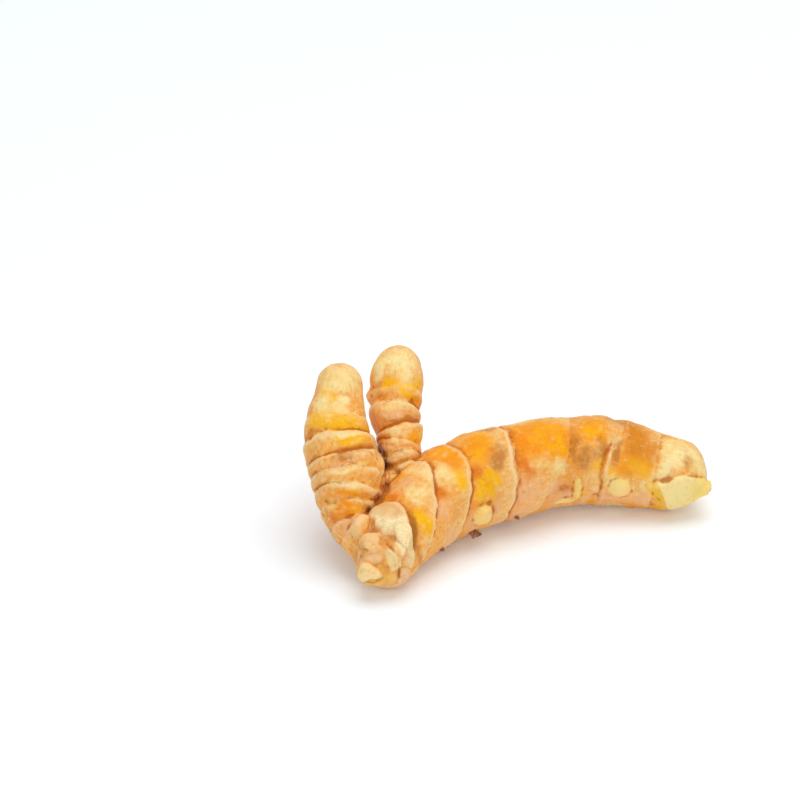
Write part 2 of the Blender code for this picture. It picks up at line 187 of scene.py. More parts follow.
# %% Write down the limbs
ORIGIN_X = 0.3
ORIGIN_Y = 24.5
MAIN_STATIONS = (
    (-30.2, -2.0, 6.9, 5.0),
    (-28.6, 2.2, 7.0, 6.1),
    (-26.0, 8.2, 8.4, 7.7),
    (-19.1, 20.8, 10.6, 10.1),
    (-9.1, 30.0, 11.6, 10.8),
    (0.5, 34.5, 12.3, 11.0),
    (12.1, 40.3, 11.6, 10.2),
    (21.4, 41.7, 11.3, 10.5),
    (30.9, 41.0, 9.8, 9.2),
    (38.1, 39.8, 8.8, 8.5),
    (41.3, 39.1, 8.5, 7.7),
    (43.6, 38.4, 7.7, 5.6),
    (46.0, 37.4, 6.2, 3.6),
)
LONG_FINGER_STATIONS = (
    (-28.0, 4.5, 7.0, 4.0),
    (-33.0, 8.8, 9.2, 4.6),
    (-36.6, 12.7, 11.7, 5.4),
    (-36.9, 15.5, 14.2, 6.8),
    (-36.7, 18.3, 16.7, 7.9),
    (-37.8, 22.6, 20.6, 8.5),
    (-39.6, 28.0, 25.5, 7.6),
    (-39.6, 31.1, 28.2, 6.9),
    (-39.2, 34.9, 31.6, 5.6),
    (-38.9, 38.4, 34.8, 4.8),
    (-38.7, 41.0, 37.0, 3.9),
)
SHORT_FINGER_STATIONS = (
    (-19.0, 20.0, 9.0, 4.0),
    (-22.8, 24.5, 14.5, 3.9),
    (-25.0, 27.4, 18.2, 4.3),
    (-25.3, 32.4, 22.2, 5.3),
    (-26.0, 35.8, 24.9, 5.5),
    (-26.2, 39.5, 27.7, 5.8),
    (-26.0, 42.4, 30.1, 6.1),
    (-25.8, 46.2, 33.0, 5.7),
    (-25.6, 49.0, 35.2, 4.6),
    (-25.5, 50.8, 36.6, 3.8),
)

# %% [markdown]
# ## The rings
#
# A node's ring isn't a clean circle: it leans and waves as it goes round. Six places for each ring, one at
# every sixth of a turn from the top round the right-hand side of the growing limb, are enough to draw it with
# a smooth closed curve. At a ring the older side stands a little over the younger one, so each ring also has
# the height of that step, the half width of its slope, and how clearly a pale dry line is left along it. At
# one ring it is the younger side that stands out, so its step is below zero.

# %% Write down the rings
# Each ring: its six places, the step, the half width of the slope, and the strength of the line.
MAIN_RINGS = (
    ((14.6, 7.0, 5.0, 5.0, 8.5, 14.0), 0.9, 0.40, 0.25),
    ((27.6, 16.8, 9.6, 9.2, 15.0, 24.0), 0.8, 0.35, 1.0),
    ((36.8, 32.3, 24.8, 23.3, 27.8, 33.8), 1.1, 0.80, 0.5),
    ((49.0, 47.6, 45.0, 43.0, 43.5, 47.0), 0.5, 0.35, 1.0),
    ((65.8, 60.3, 52.8, 52.3, 56.3, 63.3), 0.2, 0.60, 0.25),
    ((77.0, 73.6, 72.8, 70.3, 70.8, 74.8), -0.8, 0.90, 0.6),
    ((86.2, 86.2, 86.6, 85.0, 84.5, 85.4), 0.3, 0.35, 0.5),
)
LONG_FINGER_RINGS = (
    ((9.8, 9.6, 9.2, 9.0, 9.2, 9.6), 0.35, 0.30, 0.5),
    ((12.6, 12.9, 12.4, 12.0, 12.1, 12.3), 0.35, 0.30, 0.5),
    ((15.8, 16.4, 16.6, 15.8, 15.2, 15.2), 0.6, 0.35, 0.7),
    ((19.4, 19.6, 20.3, 20.4, 19.6, 18.9), 0.5, 0.35, 0.9),
    ((23.0, 22.6, 23.0, 24.0, 24.2, 23.8), 0.45, 0.35, 0.9),
    ((27.0, 27.4, 27.0, 26.6, 27.2, 27.6), 0.9, 0.40, 0.4),
    ((32.4, 31.6, 31.2, 31.8, 32.6, 32.8), 0.6, 0.45, 1.0),
    ((37.4, 37.6, 36.8, 36.0, 36.2, 36.8), 0.2, 0.60, 0.3),
)
SHORT_FINGER_RINGS = (
    ((12.6, 12.4, 12.2, 12.4, 12.8, 12.9), 0.4, 0.30, 0.5),
    ((15.0, 15.4, 15.3, 14.8, 14.6, 14.7), 0.4, 0.30, 0.5),
    ((17.6, 17.2, 17.5, 18.2, 18.4, 18.2), 0.35, 0.30, 0.6),
    ((21.2, 21.6, 22.0, 21.6, 21.0, 20.8), 0.9, 0.40, 0.4),
    ((26.6, 26.0, 25.6, 26.0, 26.8, 27.2), 0.7, 0.40, 1.0),
    ((30.8, 31.0, 30.6, 30.0, 30.0, 30.4), 0.3, 0.50, 0.3),
)
print("rings:", len(MAIN_RINGS), len(LONG_FINGER_RINGS), len(SHORT_FINGER_RINGS))

# %% [markdown]
# ## Places on a limb
#
# Nearly everything on the root is easiest to place by how far along its limb it is and how far round. So each
# limb keeps its middle line as close samples, with the directions along, up and sideways at each of them. The
# same samples answer the question the other way round: which place on the limb is nearest to this point?

# %% Make a limb that knows its own surface
SPINE_STEP = 0.5


def unit(vectors):
    return vectors / np.linalg.norm(vectors, axis=-1, keepdims=True)


def smooth_through(known, per_span=24):
    """Points of a smooth curve through the stations, spaced by their chords."""
    chord = np.linalg.norm(np.diff(known[:, :3], axis=0), axis=1)
    knot = np.concatenate([[0.0], np.cumsum(chord)])
    slope = np.gradient(known, knot, axis=0)
    spans = []
    for i, width in enumerate(chord):
        t = np.linspace(0.0, 1.0, per_span, endpoint=False)[:, None]
        spans.append(
            (2 * t**3 - 3 * t**2 + 1) * known[i]
            + (t**3 - 2 * t**2 + t) * width * slope[i]
            + (-2 * t**3 + 3 * t**2) * known[i + 1]
            + (t**3 - t**2) * width * slope[i + 1]
        )
    spans.append(known[-1:])
    return np.concatenate(spans)


def end_rounding(s, radius):
    """1 along the limb, falling to 0 at each tip on a round end."""
    share = np.ones_like(s)
    for gap, end in ((s, radius[0]), (s[-1] - s, radius[-1])):
        inside = np.clip(1.0 - gap / end, 0.0, 1.0)
        share *= np.sqrt(1.0 - inside**2)
    return share


class Limb:
    """A stem of the root: its middle line, and its radius and directions at each sample of it."""

    def __init__(self, stations, rings):
        known = np.array(stations, float) - (ORIGIN_X, ORIGIN_Y, 0.0, 0.0)
        dense = smooth_through(known)
        steps = np.linalg.norm(np.diff(dense[:, :3], axis=0), axis=1)
        along = np.concatenate([[0.0], np.cumsum(steps)])
        self.length = along[-1]
        self.s = np.linspace(0.0, self.length, int(self.length / SPINE_STEP) + 1)
        columns = [np.interp(self.s, along, dense[:, i]) for i in range(4)]
        self.points = np.stack(columns[:3], axis=1)
        self.radius = columns[3] * end_rounding(self.s, columns[3])
        self.tangent = unit(np.gradient(self.points, self.s, axis=0))
        self.side = unit(np.cross(self.tangent, (0.0, 0.0, 1.0)))
        self.up = np.cross(self.side, self.tangent)
        self.waves = [np.fft.rfft(ring[0]) / len(ring[0]) for ring in rings]
        self.step, self.soft, self.line = np.array([ring[1:] for ring in rings]).T[:, :, None]

    def at(self, s, turn_degrees):
        """The middle line's point there, the directions along and out of the limb, and its radius."""
        i = int(round(min(s, self.length) / SPINE_STEP))
        turn = math.radians(turn_degrees)
        out = self.up[i] * math.cos(turn) + self.side[i] * math.sin(turn)
        return self.points[i], self.tangent[i], out, self.radius[i]

    def coordinates(self, points):
        """For each point: its place along the limb, its turn round it, and its gap to the bare surface."""
        square = (points**2).sum(1)[:, None] + (self.points**2).sum(1) - 2 * points @ self.points.T
        i = square.argmin(1)
        offset = points - self.points[i]
        slip = (offset * self.tangent[i]).sum(1)
        along = np.clip(self.s[i] + slip, 0.0, self.length)
        turn = np.arctan2((offset * self.side[i]).sum(1), (offset * self.up[i]).sum(1))
        return along, turn, np.linalg.norm(offset, axis=1) - self.radius[i]

    def ring_places(self, turn):
        """Where each ring crosses the limb at each turn: smooth closed curves through their six places."""
        places = np.zeros((len(self.waves), len(turn)))
        for row, wave in zip(places, self.waves):
            row += wave[0].real
            for k in range(1, len(wave)):
                share = 1.0 if k == len(wave) - 1 else 2.0
                row += share * (wave[k].real * np.cos(k * turn) - wave[k].imag * np.sin(k * turn))
        return places


LIMBS = {
    "main": Limb(MAIN_STATIONS, MAIN_RINGS),
    "long": Limb(LONG_FINGER_STATIONS, LONG_FINGER_RINGS),
    "short": Limb(SHORT_FINGER_STATIONS, SHORT_FINGER_RINGS),
}
for name, limb in LIMBS.items():
    print(name, "limb is", round(limb.length, 1), "mm along its middle")

# %% [markdown]
# ## Lumps, buds and the shoot
#
# The old end broke from the mother rhizome and has healed as a cluster of lumps. Buds are low domes at the
# nodes. Each of these is a ball stretched to its own three sizes and sunk into its limb, so the next step can
# melt it into the skin. The growing tip carries a pale shoot with flat faces and blunt edges, so that one is
# the hull of a few corners: the smallest body with flat faces that holds them all.

# %% Write down the knobs
# The lumps of the old end: the middle of each and its half sizes across, along and up.
HEAD_BALLS = (
    (-31.3, -25.4, 6.6, 4.0, 3.4, 3.8),
    (-26.6, -25.0, 6.6, 3.2, 3.2, 3.2),
    (-24.2, -22.2, 8.4, 2.6, 3.4, 3.4),
    (-28.0, -24.6, 10.2, 3.6, 3.2, 3.2),
    (-31.6, -22.6, 10.6, 3.4, 3.6, 3.4),
    (-28.0, -16.0, 12.0, 5.6, 5.2, 4.6),
    (-24.6, -20.8, 11.4, 2.6, 4.0, 3.8),
    (-34.4, -17.0, 12.6, 2.5, 3.0, 3.4),
    (-32.4, -20.5, 6.6, 2.8, 5.0, 4.0),
)
# Each knob on a limb: its limb, its place along it and round it in degrees, how far its middle lies outside
# the bare limb, and its half sizes along, across and out of the limb.
BUDS = (
    ("main", 34.4, 100, -1.1, 3.2, 2.9, 2.9),
    ("main", 60.8, 122, -1.5, 5.2, 1.5, 2.2),
    ("main", 65.0, 103, -1.4, 1.6, 3.7, 2.2),
    ("main", 77.4, 97, -1.9, 3.6, 3.0, 2.8),
    ("main", 43.4, 278, -1.2, 3.2, 2.8, 2.9),
    ("main", 68.8, 284, -1.4, 3.4, 2.7, 3.0),
    ("main", 17.4, 290, -2.6, 4.6, 4.0, 3.4),
    ("long", 24.1, 62, -1.8, 3.9, 2.2, 2.7),
    ("long", 15.0, -66, -1.9, 2.2, 1.8, 2.3),
    ("long", 29.8, 226, -1.6, 2.6, 2.3, 2.6),
    ("long", 14.2, -2, -2.2, 2.4, 3.8, 2.7),
    ("short", 29.8, 272, -1.6, 2.4, 2.1, 2.6),
    ("short", 22.8, 150, -1.5, 2.2, 2.0, 2.3),
    ("short", 9.8, 270, 0.4, 3.6, 2.8, 2.8),
)
SHOOT_CORNERS = (
    (32.3, 6.8, 10.3),
    (35.4, 5.7, 10.5),
    (38.0, 6.6, 3.9),
    (36.6, 9.2, 2.4),
    (42.2, 7.1, 4.5),
    (46.8, 8.4, 6.5),
    (47.9, 10.0, 7.2),
    (47.8, 12.2, 8.6),
    (42.0, 7.2, 12.4),
    (41.0, 17.0, 5.5),
    (35.0, 17.0, 5.5),
)
RESTS = (
    ("main", 7.4, 180, -1.8, 3.4, 3.2, 3.2),
    ("main", 40.4, 218, -0.6, 5.0, 4.6, 3.9),
    ("main", 80.8, 180, -2.0, 4.6, 4.0, 3.1),
)
LIMB_KNOBS = (*BUDS, *RESTS)


def knob_matrix(knob):
    """Places a unit ball as the knob, in metres."""
    name, s, turn, outside, half_along, half_across, half_out = knob
    middle_line, along, out, radius = LIMBS[name].at(s, turn)
    across = np.cross(out, along)
    middle = middle_line + out * (radius + outside)
    axes = np.stack([along * half_along, across * half_across, out * half_out], axis=1)
    matrix = Matrix.Identity(4)
    for row in range(3):
        for column in range(3):
            matrix[row][column] = axes[row, column] * MM
        matrix[row][3] = middle[row] * MM
    return matrix


def ball_matrix(ball):
    """Places a unit ball as one of the old end's lumps, in metres."""
    x, y, z, half_x, half_y, half_z = (value * MM for value in ball)
    return Matrix.Translation((x, y, z)) @ Matrix.Diagonal((half_x, half_y, half_z, 1.0))


def shoot_wedge():
    """The shoot as a mesh: the hull of its corners."""
    hull = bmesh.new()
    for corner in SHOOT_CORNERS:
        hull.verts.new(Vector(corner) * MM)
    bmesh.ops.convex_hull(hull, input=hull.verts)
    mesh = bpy.data.meshes.new("shoot")
    hull.to_mesh(mesh)
    hull.free()
    return mesh


wedge = shoot_wedge()
print("lumps, buds and calluses:", len(HEAD_BALLS) + len(LIMB_KNOBS))
print("a shoot of", len(wedge.polygons), "faces")

# %% [markdown]
# ## One skin
#
# Limbs and knobs overlap, and a plain join would leave hard creases and hidden walls inside. A boolean union
# would remove the walls but keep the creases. A voxel remesh builds one closed skin round them all, of even
# little squares, and a few rounds of smoothing turn the creases into the fillets of a grown thing. The squares
# are about a third of a millimetre, which is finer than the eye sees in the picture.

# %% Grow the skin
VOXEL = 0.34
FILLET_ROUNDS = 16


def limb_tube(limb):
    """The bare limb as a closed mesh, from a curve with a radius at each of its points."""
    curve = bpy.data.curves.new("limb", "CURVE")
    curve.dimensions = "3D"
    curve.bevel_depth = MM
    curve.bevel_resolution = 12
    curve.use_fill_caps = True
    spline = curve.splines.new("POLY")
    spline.points.add(len(limb.points) - 1)
    for place, middle, radius in zip(spline.points, limb.points, limb.radius):
        place.co = (*(middle * MM), 1.0)
        place.radius = max(radius, 0.05)
    tube = bpy.data.objects.new("limb", curve)
    bpy.context.scene.collection.objects.link(tube)
    bpy.context.view_layer.update()
    mesh = bpy.data.meshes.new_from_object(tube.evaluated_get(bpy.context.evaluated_depsgraph_get()))
    bpy.data.objects.remove(tube)
    return mesh


def grow_skin():
    shape = bmesh.new()
    for limb in LIMBS.values():
        shape.from_mesh(limb_tube(limb))
    for matrix in [knob_matrix(knob) for knob in LIMB_KNOBS] + [ball_matrix(ball) for ball in HEAD_BALLS]:
        bmesh.ops.create_uvsphere(shape, u_segments=32, v_segments=16, radius=1.0, matrix=matrix)
    shape.from_mesh(wedge)
    mesh = bpy.data.meshes.new("joined")
    shape.to_mesh(mesh)
    shape.free()
    body = bpy.data.objects.new("joined", mesh)
    bpy.context.scene.collection.objects.link(body)
    join = body.modifiers.new("join", "REMESH")
    join.mode = "VOXEL"
    join.voxel_size = VOXEL * MM
    fillet = body.modifiers.new("fillet", "SMOOTH")
    fillet.factor = 0.5
    fillet.iterations = FILLET_ROUNDS
    bpy.context.view_layer.update()
    skin = bpy.data.meshes.new_from_object(body.evaluated_get(bpy.context.evaluated_depsgraph_get()))
    bpy.data.objects.remove(body)
    return skin


skin = grow_skin()
print("skin squares:", len(skin.polygons))

# %% [markdown]
# ## What every point knows
#
# Shape and colour both follow the plant, so each point of the skin is asked a few questions once. Which limb
# is it on? How far along, and how far round? How far beyond the nearest ring, and how strong is that ring?
# Where two limbs meet, the answers are blended by how near each limb is. The whole table is worked out with
# arrays, because a loop over this many points would be slow.

# %% Ask each point where it is
LIMB_BLEND = 0.7
RING_WOBBLE = 0.5


# The noise's grid is turned, so that its cells never line up with the limbs.
TILT = np.array(Matrix.Rotation(0.7, 3, "X") @ Matrix.Rotation(0.5, 3, "Y") @ Matrix.Rotation(0.9, 3, "Z"))


def point_array(mesh):
    flat = np.empty(len(mesh.vertices) * 3)
    mesh.vertices.foreach_get("co", flat)
    return flat.reshape(-1, 3) / MM


def grown_lumps(points, size):
    """The same slow noise that shapes the solid, from about -1 to 1."""
    return np.array([noise.noise(Vector(p) / size) for p in points])


def noise_at(points, size, seed):
    """Soft noise from -1 to 1: random numbers on a grid of cells of this size, smoothly blended between."""
    cells = 32
    grid = np.random.default_rng(seed).uniform(-1.0, 1.0, (cells, cells, cells))
    place = points @ TILT.T / size
    cell = np.floor(place).astype(int)
    t = place - cell
    t = t * t * (3.0 - 2.0 * t)
    total = np.zeros(len(points))
    for corner in np.ndindex(2, 2, 2):
        share = np.prod(np.where(corner, t, 1.0 - t), axis=1)
        i, j, k = ((cell + corner) % cells).T
        total += share * grid[i, j, k]
    return total


def soft_step(value, low, high):
    t = np.clip((value - low) / (high - low), 0.0, 1.0)
    return t * t * (3.0 - 2.0 * t)


points = point_array(skin)
wobble = (noise_at(points, 2.2, 5) + 0.8 * noise_at(points, 5.5, 6)) * RING_WOBBLE
fading = 1.0 + 0.7 * noise_at(points, 6.0, 19)
near, fields = [], []
for limb in LIMBS.values():
    along, turn, gap = limb.coordinates(points)
    places = limb.ring_places(turn) + wobble
    beyond = along - places
    closest = np.abs(beyond).argmin(0)
    start, end = np.zeros((1, len(along))), np.full((1, len(along)), limb.length)
    ends = np.concatenate([start, places, end])
    passed = (along >= places).sum(0)[None]
    low = np.take_along_axis(ends, passed, 0)[0]
    high = np.take_along_axis(ends, passed + 1, 0)[0]
    fields.append(
        {
            "along": along,
            "turn": turn,
            "gap": gap,
            "beyond": beyond,
            "downhill": np.take_along_axis(beyond, closest[None], 0)[0] * np.sign(limb.step[closest, 0]),
            "drop": np.abs(limb.step[closest, 0]) * fading,
            "line": limb.line[closest, 0] * fading,
            "share": np.clip((along - low) / np.maximum(high - low, 1.0), 0.0, 1.0),
        }
    )
    near.append(np.exp(-np.clip(gap, -4.0, 12.0) / LIMB_BLEND))
weight = np.stack(near) / np.sum(near, axis=0)
owner = weight.argmax(0)


def owned(name):
    return np.take_along_axis(np.stack([field[name] for field in fields]), owner[None], 0)[0]


print("points on each limb:", [int((owner == i).sum()) for i in range(3)])

# %% [markdown]
# ## Patches on the skin
#
# Many marks are round or oval patches at given places: a hollow between two knobs, a brown scuff, a glossy
# orange flank. One small function gives a soft oval at a place on a limb, with its two half sizes in
# millimetres, and everything that follows is a table of such ovals. Nothing that grew is a clean oval, so noise
# pushes the edge of each patch in and out by a millimetre or so.

# %% Draw soft ovals on a limb
ORDER = list(LIMBS)
HALF = math.log(2.0)
# How far, in millimetres, noise pushes the edge of a painted patch along and round the limb.
PUSH_ALONG = 1.2 * noise_at(points, 3.6, 41) + 0.7 * noise_at(points, 1.5, 42)
PUSH_AROUND = 1.2 * noise_at(points, 3.6, 43) + 0.7 * noise_at(points, 1.5, 44)


def oval(name, s, turn_degrees, half_along, half_around, push):
    """1 in the middle of the oval, a half at its edge and 0 far from it."""
    field = fields[ORDER.index(name)]
    limb = LIMBS[name]
    radius = np.interp(s, limb.s, limb.radius)
    away = (field["turn"] - math.radians(turn_degrees) + math.pi) % (2 * math.pi) - math.pi
    square = ((field["along"] + push * PUSH_ALONG - s) / half_along) ** 2
    square += ((away * radius + push * PUSH_AROUND) / half_around) ** 2
    return np.exp(-HALF * square) * weight[ORDER.index(name)]


def ovals(table, push=1.0):
    """All the ovals of a table together. Each row ends with how strong the oval is."""
    total = np.zeros(len(points))
    for *place, strength in table:
        total = np.maximum(total, oval(*place, push) * strength)
    return total


def on_knobs(knobs, reach, fade):
    """From 0 to 1, how far each point is on one of these knobs."""
    share = np.zeros(len(points))
    for knob in knobs:
        inverse = np.array(knob_matrix(knob).inverted())
        local = (points * MM) @ inverse[:3, :3].T + inverse[:3, 3]
        share = np.maximum(share, np.clip((reach - np.linalg.norm(local, axis=1)) / fade, 0.0, 1.0))
    return share


# %% [markdown]
# ## Relief
#
# An internode swells a little and ends in a step, from which the next one comes. That is one curve over the
# distance beyond a ring, added up over all the rings. The broken end is different. Its lumps share the skin
# between them, so each point belongs to the lump whose stroke is nearest, and a crease runs wherever two lumps
# are equally near. Hollows are pressed in where a bud or a fold has left one, and noise of several sizes
# makes the surface uneven, so no two lengths are alike.

# %% Raise the rings and press in the hollows
SWELL = 0.25
STEP_REACH = 2.6
# A lump: its height, the colour that its middle will get, and the stroke down its middle.
HEAD_LUMPS = (
    (0.6, "hood", ((-32.2, -15.8, 15.4), (-28.1, -18.0, 16.2), (-30.2, -19.6, 15.2), (-27.4, -21.4, 15.0),
                   (-26.2, -19.8, 15.6), (-25.0, -22.9, 14.4), (-25.8, -25.7, 12.2))),
    (-0.3, "recess", ((-28.5, -23.6, 13.2), (-28.1, -24.6, 12.6))),
    (-0.3, "scar", ((-32.6, -18.9, 14.2), (-32.2, -20.0, 13.9))),
    (0.3, "cream", ((-35.1, -18.4, 14.6), (-35.0, -20.0, 12.6))),
    (0.3, "peach", ((-33.4, -22.0, 13.0), (-31.2, -22.4, 14.0), (-31.4, -25.6, 12.0))),
    (0.4, "cream", ((-27.6, -27.0, 11.8), (-27.0, -28.0, 9.6))),
    (-0.3, "gold", ((-29.9, -28.2, 9.6), (-29.4, -28.5, 9.0))),
    (0.1, "pinkish", ((-31.6, -26.6, 11.2), (-30.4, -27.4, 10.4))),
    (0.5, "cream", ((-33.0, -28.2, 7.6), (-30.4, -29.0, 8.2))),
    (-0.1, "gold", ((-30.6, -29.2, 4.4), (-27.4, -28.4, 5.8))),
    (0.3, "grey", ((-23.2, -23.2, 11.4), (-23.2, -25.4, 8.8))),
    (-0.3, "pinkish", ((-24.6, -26.6, 6.2), (-23.2, -24.6, 4.8))),
    (0.0, "pinkish", ((-35.0, -23.4, 10.0), (-34.8, -24.2, 6.4))),
    (0.2, "peach", ((-34.6, -19.0, 8.0), (-33.4, -20.0, 4.4))),
    (-0.2, "peach", ((-27.6, -24.6, 2.2), (-31.6, -23.0, 2.2))),
    (-0.2, "peach", ((-22.4, -20.0, 5.2), (-24.4, -17.4, 3.0))),
)
CREASE_DEPTH = 0.5
CREASE_WIDTH = 0.7
LUMP_BLEND = 0.7
LUMP_DOME = 0.35
LUMP_SPAN = 2.8
# A dark slit between lumps: how far it reaches to each side, and the stroke that it follows.
SLITS = (
    (0.66, ((-32.9, -28.0, 4.8), (-31.7, -28.7, 5.3), (-30.4, -28.7, 5.9), (-29.0, -28.2, 6.2))),
    (0.60, ((-28.1, -24.6, 12.9), (-27.0, -26.5, 12.8), (-25.9, -27.1, 11.6))),
    (0.42, ((-25.6, -27.1, 11.1), (-25.5, -27.4, 8.4), (-25.6, -27.3, 5.4))),
    (0.90, ((-21.4, -21.6, 9.9), (-20.9, -21.7, 8.1), (-20.7, -21.1, 5.9))),
)
SLIT_DEPTH = 0.35
# A hollow: the limb, the place along and round it, the half sizes along and round it, and the depth.
HOLLOWS = (
    ("main", 74.0, 42, 2.4, 3.6, 0.7),
    ("main", 70.2, 66, 2.4, 3.2, 0.5),
    ("main", 59.4, 98, 2.4, 2.0, 0.6),
    ("main", 37.4, 50, 1.6, 4.6, 0.5),
    ("main", 89.8, 72, 1.4, 2.6, 0.6),
    ("main", 23.0, 46, 1.6, 3.0, 0.4),
    ("long", 27.0, 12, 1.0, 6.0, 0.7),
    ("long", 17.4, 84, 1.6, 2.2, 0.6),
    ("short", 21.4, -6, 0.9, 4.6, 0.6),
    ("short", 27.6, 56, 1.3, 1.4, 0.7),
)


def ring_relief(limb, field):
    """The swelling of the internodes and the steps of the rings, in millimetres."""
    beyond = field["beyond"]
    side = -0.5 * np.tanh(beyond / limb.soft)
    steps = (limb.step * side * np.exp(-np.abs(beyond) / STEP_REACH)).sum(0) * fading
    return SWELL * np.sin(np.pi * field["share"] ** 1.3) + steps


def stroke_gap(points, stroke):
    """How far each point is from a stroke of straight pieces."""
    gap = np.full(len(points), np.inf)
    for start, end in zip(np.array(stroke), np.array(stroke)[1:]):
        run = end - start
        share = np.clip((points - start) @ run / (run @ run), 0.0, 1.0)
        gap = np.minimum(gap, np.linalg.norm(points - start - share[:, None] * run, axis=1))
    return gap


knobbed = on_knobs(LIMB_KNOBS, 1.35, 0.30)
in_head = np.clip(-fields[0]["beyond"][0] / 1.5, 0.0, 1.0) * weight[0]
lump_gaps = np.stack([
    stroke_gap(points, stroke) + 0.55 * noise_at(points, 2.4, 200 + i) + 0.30 * noise_at(points, 1.1, 230 + i)
    for i, (_, _, stroke) in enumerate(HEAD_LUMPS)
])
nearest, second = np.sort(lump_gaps, axis=0)[:2]
lump_share = np.exp(-(lump_gaps - nearest) / LUMP_BLEND)
lump_share /= lump_share.sum(0)
lump_heights = np.array([row[0] for row in HEAD_LUMPS])[:, None]
standing = (lump_share * (lump_heights >= 0.0)).sum(0)
dome = LUMP_DOME * standing * np.clip(1.0 - (nearest / LUMP_SPAN) ** 2, 0.0, 1.0)
lump_crease = np.exp(-(second - nearest) / CREASE_WIDTH) * in_head * (0.55 + 0.45 * noise_at(points, 2.8, 33))
head = in_head * ((lump_share * lump_heights).sum(0) + dome) - CREASE_DEPTH * lump_crease
ringed = sum(w * ring_relief(limb, field) for limb, w, field in zip(LIMBS.values(), weight, fields))
swells = 0.35 * grown_lumps(points, 8.0) + 0.28 * noise_at(points, 4.4, 29)
pits = 0.15 * noise_at(points, 2.2, 3) + 0.08 * noise_at(points, 0.9, 7)
crags = in_head * (0.26 * noise_at(points, 1.8, 11) + 0.14 * noise_at(points, 0.8, 12))
hollowed = ovals(HOLLOWS, push=0.4)
height = ringed * (1.0 - knobbed) + head + swells + pits + crags - hollowed
normals = np.empty(len(skin.vertices) * 3)
skin.vertices.foreach_get("normal", normals)
outward = normals.reshape(-1, 3)
raised = points + outward * height[:, None]
# A slit is deeper than it is wide, so distance counts for a quarter along the way it runs into the root.
inwards = np.array([0.0, 0.88, -0.47])
flatten = np.eye(3) - 0.75 * np.outer(inwards, inwards)
slits = np.max([
    np.exp(-((stroke_gap(raised @ flatten, np.array(stroke) @ flatten) / reach) ** 2)) for reach, stroke in SLITS
], axis=0)
slits *= 0.85 + 0.5 * noise_at(points, 1.4, 51)
raised -= outward * (SLIT_DEPTH * slits)[:, None]
raised[:, 2] = np.maximum(raised[:, 2], 0.0)
skin.vertices.foreach_set("co", (raised * MM).ravel())
skin.update()
print("relief from", round(height.min(), 2), "to", round(height.max(), 2), "mm")

# %% [markdown]
# ## Creases and ridges
#
# Creases get painted shade, a darker colour where shade falls, and ridges a paler colour. A render engine can
# guess this while it shades, but a number on each point is steadier. The skin is relaxed, as if it were pulled
# tight: where the relaxed skin lies outside the real one there is a crease, and where it lies inside, a ridge.
# The gaps between two limbs are found another way, also for painted shade: rays go out from each point there,
# and the more of them meet skin again, the deeper the point lies in the gap.

# %% Measure creases and ridges
def relaxed(mesh, places, rounds):
    """The points after each has moved, again and again, to the middle of its neighbours."""
    pairs = np.empty(len(mesh.edges) * 2, dtype=np.int32)
    mesh.edges.foreach_get("vertices", pairs)
    first, second = pairs.reshape(-1, 2).T
    count = np.bincount(pairs, minlength=len(places))
    for _ in range(rounds):
        sums = [
            np.bincount(first, places[second, axis], len(places))
            + np.bincount(second, places[first, axis], len(places))
            for axis in range(3)
        ]
        places = 0.4 * places + 0.6 * np.stack(sums, axis=1) / count[:, None]
    return places


skin.vertices.foreach_get("normal", normals)
outward = normals.reshape(-1, 3)
tight = relaxed(skin, raised, 10)
tighter = relaxed(skin, tight, 50)
fold = ((tight - raised) * outward).sum(1)
wide_fold = ((tighter - raised) * outward).sum(1)
skin_tree = BVHTree.FromPolygons([Vector(p) for p in raised], [tuple(f.vertices) for f in skin.polygons])


def occluded_share(rows, reach=7.0, directions=26):
    """The share of the directions over a point in which other skin lies close by, for these rows."""
    turn = np.arange(directions) * math.pi * (3.0 - math.sqrt(5.0))
    level = 1.0 - 2.0 * (np.arange(directions) + 0.5) / directions
    flat = np.sqrt(1.0 - level**2)
    rays = np.stack([flat * np.cos(turn), flat * np.sin(turn), level], axis=1)
    share = np.zeros(len(raised))
    for row in rows:
        start = Vector(raised[row] + 0.3 * outward[row])
        above = rays[rays @ outward[row] > 0.25]
        blocked = sum(skin_tree.ray_cast(start, Vector(ray), reach)[0] is not None for ray in above)
        share[row] = blocked / len(above)
    return share


second_gap = np.sort(np.stack([field["gap"] for field in fields]), axis=0)[1]
# The share of blocked rays is used as painted shade: the deeper a point lies in a gap, the darker its colour.
painted_gap_shade = occluded_share(np.flatnonzero((second_gap < 7.0) | (in_head > 0.5)))
print("folds, mm:", np.round(np.percentile(fold, [2, 50, 98]), 3))
print("points deep in a gap:", int((painted_gap_shade > 0.6).sum()))
